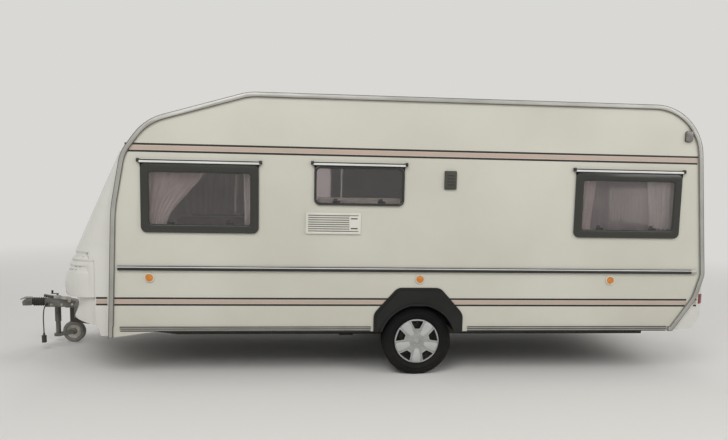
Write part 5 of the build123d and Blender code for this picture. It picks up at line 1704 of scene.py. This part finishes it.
@dataclass
class Door(Assembly):
    """Entry door: softened frame and handle, window border, panel bead, lip and lock."""

    middle_a: float = 868.0
    # Name, slot, height of the middle, size and form of each frame on the leaf
    frames: tuple = (
        ("door_window_border", "window_border", 1619.1, (416.0, 539.4), (6.0, 74.0, 34.0, 2.5)),
        ("door_panel_bead", "wall_skin", 860.0, (430.0, 560.0), (3.0, 40.0, 8.0, 1.2)),
        ("door_leaf_lip", "rail_aluminium", 1308.0, (598.0, 1682.0), (2.5, 51.0, 12.0, 1.0)),
    )
    lock: tuple = ((630.0, -1141.0, 1200.0), (630.0, -1147.0, 1200.0), 11.0, 10.0)

    def build(self) -> None:
        """Builds the pieces of the door."""
        body = "entry_door"
        self.shop.softened("door_frame", 2.5)
        self.shop.softened("door_handle", 3.0, body, 3)
        for name, slot, z, size, form in self.frames:
            self.shop.panel(name, slot, stand_on_wall(-1, self.middle_a, z), size, form, body=body)
        self.shop.rods("door_lock", "bright_steel", [self.lock], body=body)


@dataclass
class Nose(Assembly):
    """Lid and front panel with their grip hollows, pale seals in the gap and locks."""

    gap_a: tuple[float, float] = (2743.0, 2749.6)
    cheek_y: tuple[float, float] = (1101.0, 1124.4)
    gap_z: tuple[float, float] = (697.0, 1010.0)
    gap_soft_mm: float = 0.8
    corner_centre: tuple[float, float] = (2751.0, 885.0)
    # Radius and height of the seal over the lid's corner, its sweep in degrees and its steps
    seal_profile: tuple = ((222.0, 997.4), (239.3, 997.4), (239.3, 1010.5), (222.0, 1010.5))
    seal_sweep: float = 62.0
    seal_steps: int = 18
    # Node, body that carries it, low z, high z and depth of each hollow
    hollows: tuple = (
        ("gas_locker_lid", "locker_lid", 902.0, 966.0, 12.0),
        ("front_panel", ROOT, 1024.0, 1078.0, 11.0),
    )
    hollow_end: tuple[float, float] = (2790.0, 640.0)
    hollow_slope_mm: float = 16.0
    # Least distance in metres from the corner's axis, along its normal, of a face that is pressed in
    outward_m: float = 0.1
    # Foot, collar and tip of a lock forward of the axle, and its place
    lock_a: tuple[float, float, float] = (3026.0, 3058.0, 3061.0)
    lock_y: float = 560.0
    lock_z: float = 735.0
    # Radii at both ends and sides of its barrel and of its tip
    barrel: tuple[float, float, int] = (15.0, 14.0, 32)
    lock_tip: tuple[float, float] = (9.0, 8.0)

    def build(self) -> None:
        """Builds the pieces of the nose."""
        for node, body, low, high, depth in self.hollows:
            self.press(node, body, (low, high), depth)
        for side_name, side in SIDES:
            self.seal(side_name, side)
        rows = []
        for _, side in SIDES:
            foot, collar, tip = ((a, side * self.lock_y, self.lock_z) for a in self.lock_a)
            rows += [(foot, collar, *self.barrel), (collar, tip, *self.lock_tip)]
        self.shop.rods("lid_locks", "black_rubber", rows, body="locker_lid")

    def press(self, node: str, body: str, levels: tuple[float, float], depth_mm: float) -> None:
        """Presses a grip hollow into both front corners of a moulding.

        Args:
            node: CAD node of the moulding.
            body: Body that carries it.
            levels: Low and high z of the hollow in mm.
            depth_mm: Depth of the hollow.
        """
        shape = self.shop.copy_of(node)
        low, high = (level / 1000 for level in levels)
        end = place(*self.hollow_end, 0.0)
        forward, left, up = Matrix.Identity(3)
        cuts = ((up * low, up), (up * high, up), (end, forward), (end, left), (-end, left))
        for point, normal in cuts:
            cut_flat(shape, point, normal)
        for _, side in SIDES:
            centre = place(self.corner_centre[0], side * self.corner_centre[1], 0.0)
            hollow = []
            for face in shape.faces:
                middle = face.calc_center_median()
                outwards = Vector((middle.x - centre.x, middle.y - centre.y, 0))
                inside = low < middle.z < high and middle.x > end.x and side * middle.y > end.y
                if inside and face.normal.dot(outwards) > self.outward_m:
                    hollow.append(face)
            LOG.info("%s: %d faces in the hollow", node, len(hollow))
            bmesh.ops.inset_region(
                shape,
                faces=hollow,
                thickness=self.hollow_slope_mm / 1000,
                depth=-depth_mm / 1000,
                use_even_offset=True,
            )
        self.shop.piece(f"{node}_shaped", shape, "nose_moulding", body=body, nodes=(node,))

    def seal(self, side_name: str, side: int) -> None:
        """Fills the gap round one end of the lid.

        Args:
            side_name: Name of the side.
            side: 1 for the left end, else -1.
        """
        shape = bmesh.new()
        inner, outer = sorted(side * y for y in self.cheek_y)
        low = place(self.gap_a[0], inner, self.gap_z[0])
        add_block(shape, low, place(self.gap_a[1], outer, self.gap_z[1]), self.gap_soft_mm)
        centre = place(self.corner_centre[0], side * self.corner_centre[1], 0.0)
        heading = Vector((0, side, 0))
        add_arc(shape, self.seal_profile, centre, heading, -side * self.seal_sweep, self.seal_steps)
        self.shop.piece(f"lid_seal_{side_name}", shape, "nose_moulding", (PALE_SEAL,))


@dataclass
class Hitch(Assembly):
    """Softened coupling parts, grips, bolts and the jockey wheel's clamp, tyre and discs."""

    # Node and rounding
    soft: tuple = (
        ("overrun_housing", 5.0),
        ("coupling_handle", 4.0),
        ("hand_brake_lever", 3.0),
        ("drawbar_cover", 4.0),
        ("jockey_tube", 1.5),
    )
    bolt_places: tuple = ((3300.0, 430.0), (3400.0, 428.0), (3500.0, 428.0))
    # Housing's face, washer's face and bolt head's face from the middle
    bolt_y: tuple[float, float, float] = (55.0, 57.0, 64.0)
    # Radii at both ends and sides of the washer and of the bolt's head
    washer: tuple[float, float, int] = (13.0, 13.0, 28)
    head: tuple[float, float, int] = (9.5, 9.5, 6)
    grip: tuple = ((3470.0, 63.0, 509.0), (3561.0, 63.0, 523.0))
    rib_shares: tuple = (0.15, 0.35, 0.55, 0.75, 0.95)
    rib_half: float = 3.0
    # Radii at both ends of the lever's grip and of its ribs
    grip_mm: tuple[float, float] = (13.5, 13.5)
    rib_mm: tuple[float, float] = (14.8, 14.8)
    crank: tuple = ((3570.0, -170.0, 506.0), (3570.0, -170.0, 534.0), 9.0, 11.0)
    # Two rings round the jockey tube, the clamp's screw and its bar
    clamp: tuple = (
        ((3520.0, -170.0, 421.0), (3520.0, -170.0, 435.0), 34.0, 34.0, 40),
        ((3520.0, -170.0, 465.0), (3520.0, -170.0, 479.0), 34.0, 34.0, 40),
        ((3550.0, -170.0, 450.0), (3595.0, -170.0, 450.0), 7.0, 7.0, 16),
        ((3595.0, -170.0, 420.0), (3595.0, -170.0, 480.0), 5.5, 5.5, 16),
    )
    roller_centre: tuple[float, float, float] = (3360.0, -170.0, 110.0)
    # Distance outwards and radius of a disc of the jockey wheel
    disc: tuple = (
        (15.0, 31.0), (19.0, 32.0), (21.0, 44.0), (19.0, 56.0), (23.0, 66.0), (23.0, 72.0), (15.0, 72.0),
    )
    disc_steps: int = 40

    def build(self) -> None:
        """Builds the pieces of the hitch."""
        for node, radius in self.soft:
            self.shop.softened(node, radius, segments=3)
        bolts = []
        for a, z in self.bolt_places:
            for _, side in SIDES:
                face, washer, head = ((a, side * y, z) for y in self.bolt_y)
                bolts += [(face, washer, *self.washer), (washer, head, *self.head)]
        self.shop.rods("hitch_bolts", "bright_steel", bolts)
        start, end = (Vector(point) for point in self.grip)
        along = (end - start).normalized() * self.rib_half
        ribs = [start.lerp(end, share) for share in self.rib_shares]
        rows = [(start, end, *self.grip_mm), *((rib - along, rib + along, *self.rib_mm) for rib in ribs)]
        self.shop.rods("brake_grip", "black_rubber", rows, finishes=(GRIP,))
        self.shop.rods("jockey_crank_grip", "black_rubber", [self.crank])
        self.shop.rods("jockey_clamp", "bright_steel", self.clamp)
        roller = "jockey_roller"
        self.shop.softened("jockey_wheel", 1.5, roller, finishes=(GREY_TYRE,), name="jockey_tyre")
        shape = bmesh.new()
        for _, side in SIDES:
            add_spun(shape, self.disc, place(*self.roller_centre), side, self.disc_steps)
        self.shop.piece("jockey_discs", shape, "bright_steel", body=roller)


@dataclass
class Roof(Assembly):
    """Softened roof hatches with their seals."""

    # Name, a of the middle, length and width of the seal
    hatches: tuple = (("middle", 350.0, 804.0, 604.0), ("rear", -1500.0, 504.0, 504.0))
    roof_z: float = 2425.0
    seal_form: tuple = (3.0, 52.0, 14.0, 1.0)

    def build(self) -> None:
        """Builds the pieces of the roof."""
        self.shop.softened("hatch_frames", 2.0)
        upwards = Matrix.Rotation(math.radians(90), 4, "X")
        for name, a, length, width in self.hatches:
            self.shop.softened(f"hatch_lid_{name}", 3.0, f"hatch_{name}", 3)
            flat, size = Matrix.Translation(place(a, 0, self.roof_z)) @ upwards, (length, width)
            seal = f"hatch_seal_{name}"
            self.shop.panel(seal, "black_rubber", flat, size, self.seal_form, finishes=(SEAL_AND_SHADE,))


ASSEMBLIES = (
    Lead, Stripes, Rails, Windows, Curtains, Cushions, RoadWheels, WallFittings, RearEnd, Door, Nose, Hitch,
    Roof,
)


def main() -> None:
    """Builds the scene piece by piece."""
    logging.basicConfig(level=logging.INFO, format="%(name)s: %(message)s")
    shop = Workshop()
    shop.dress_nodes()
    Studio().build()
    for assembly in ASSEMBLIES:
        assembly(shop).build()


if __name__ == "__main__":
    main()
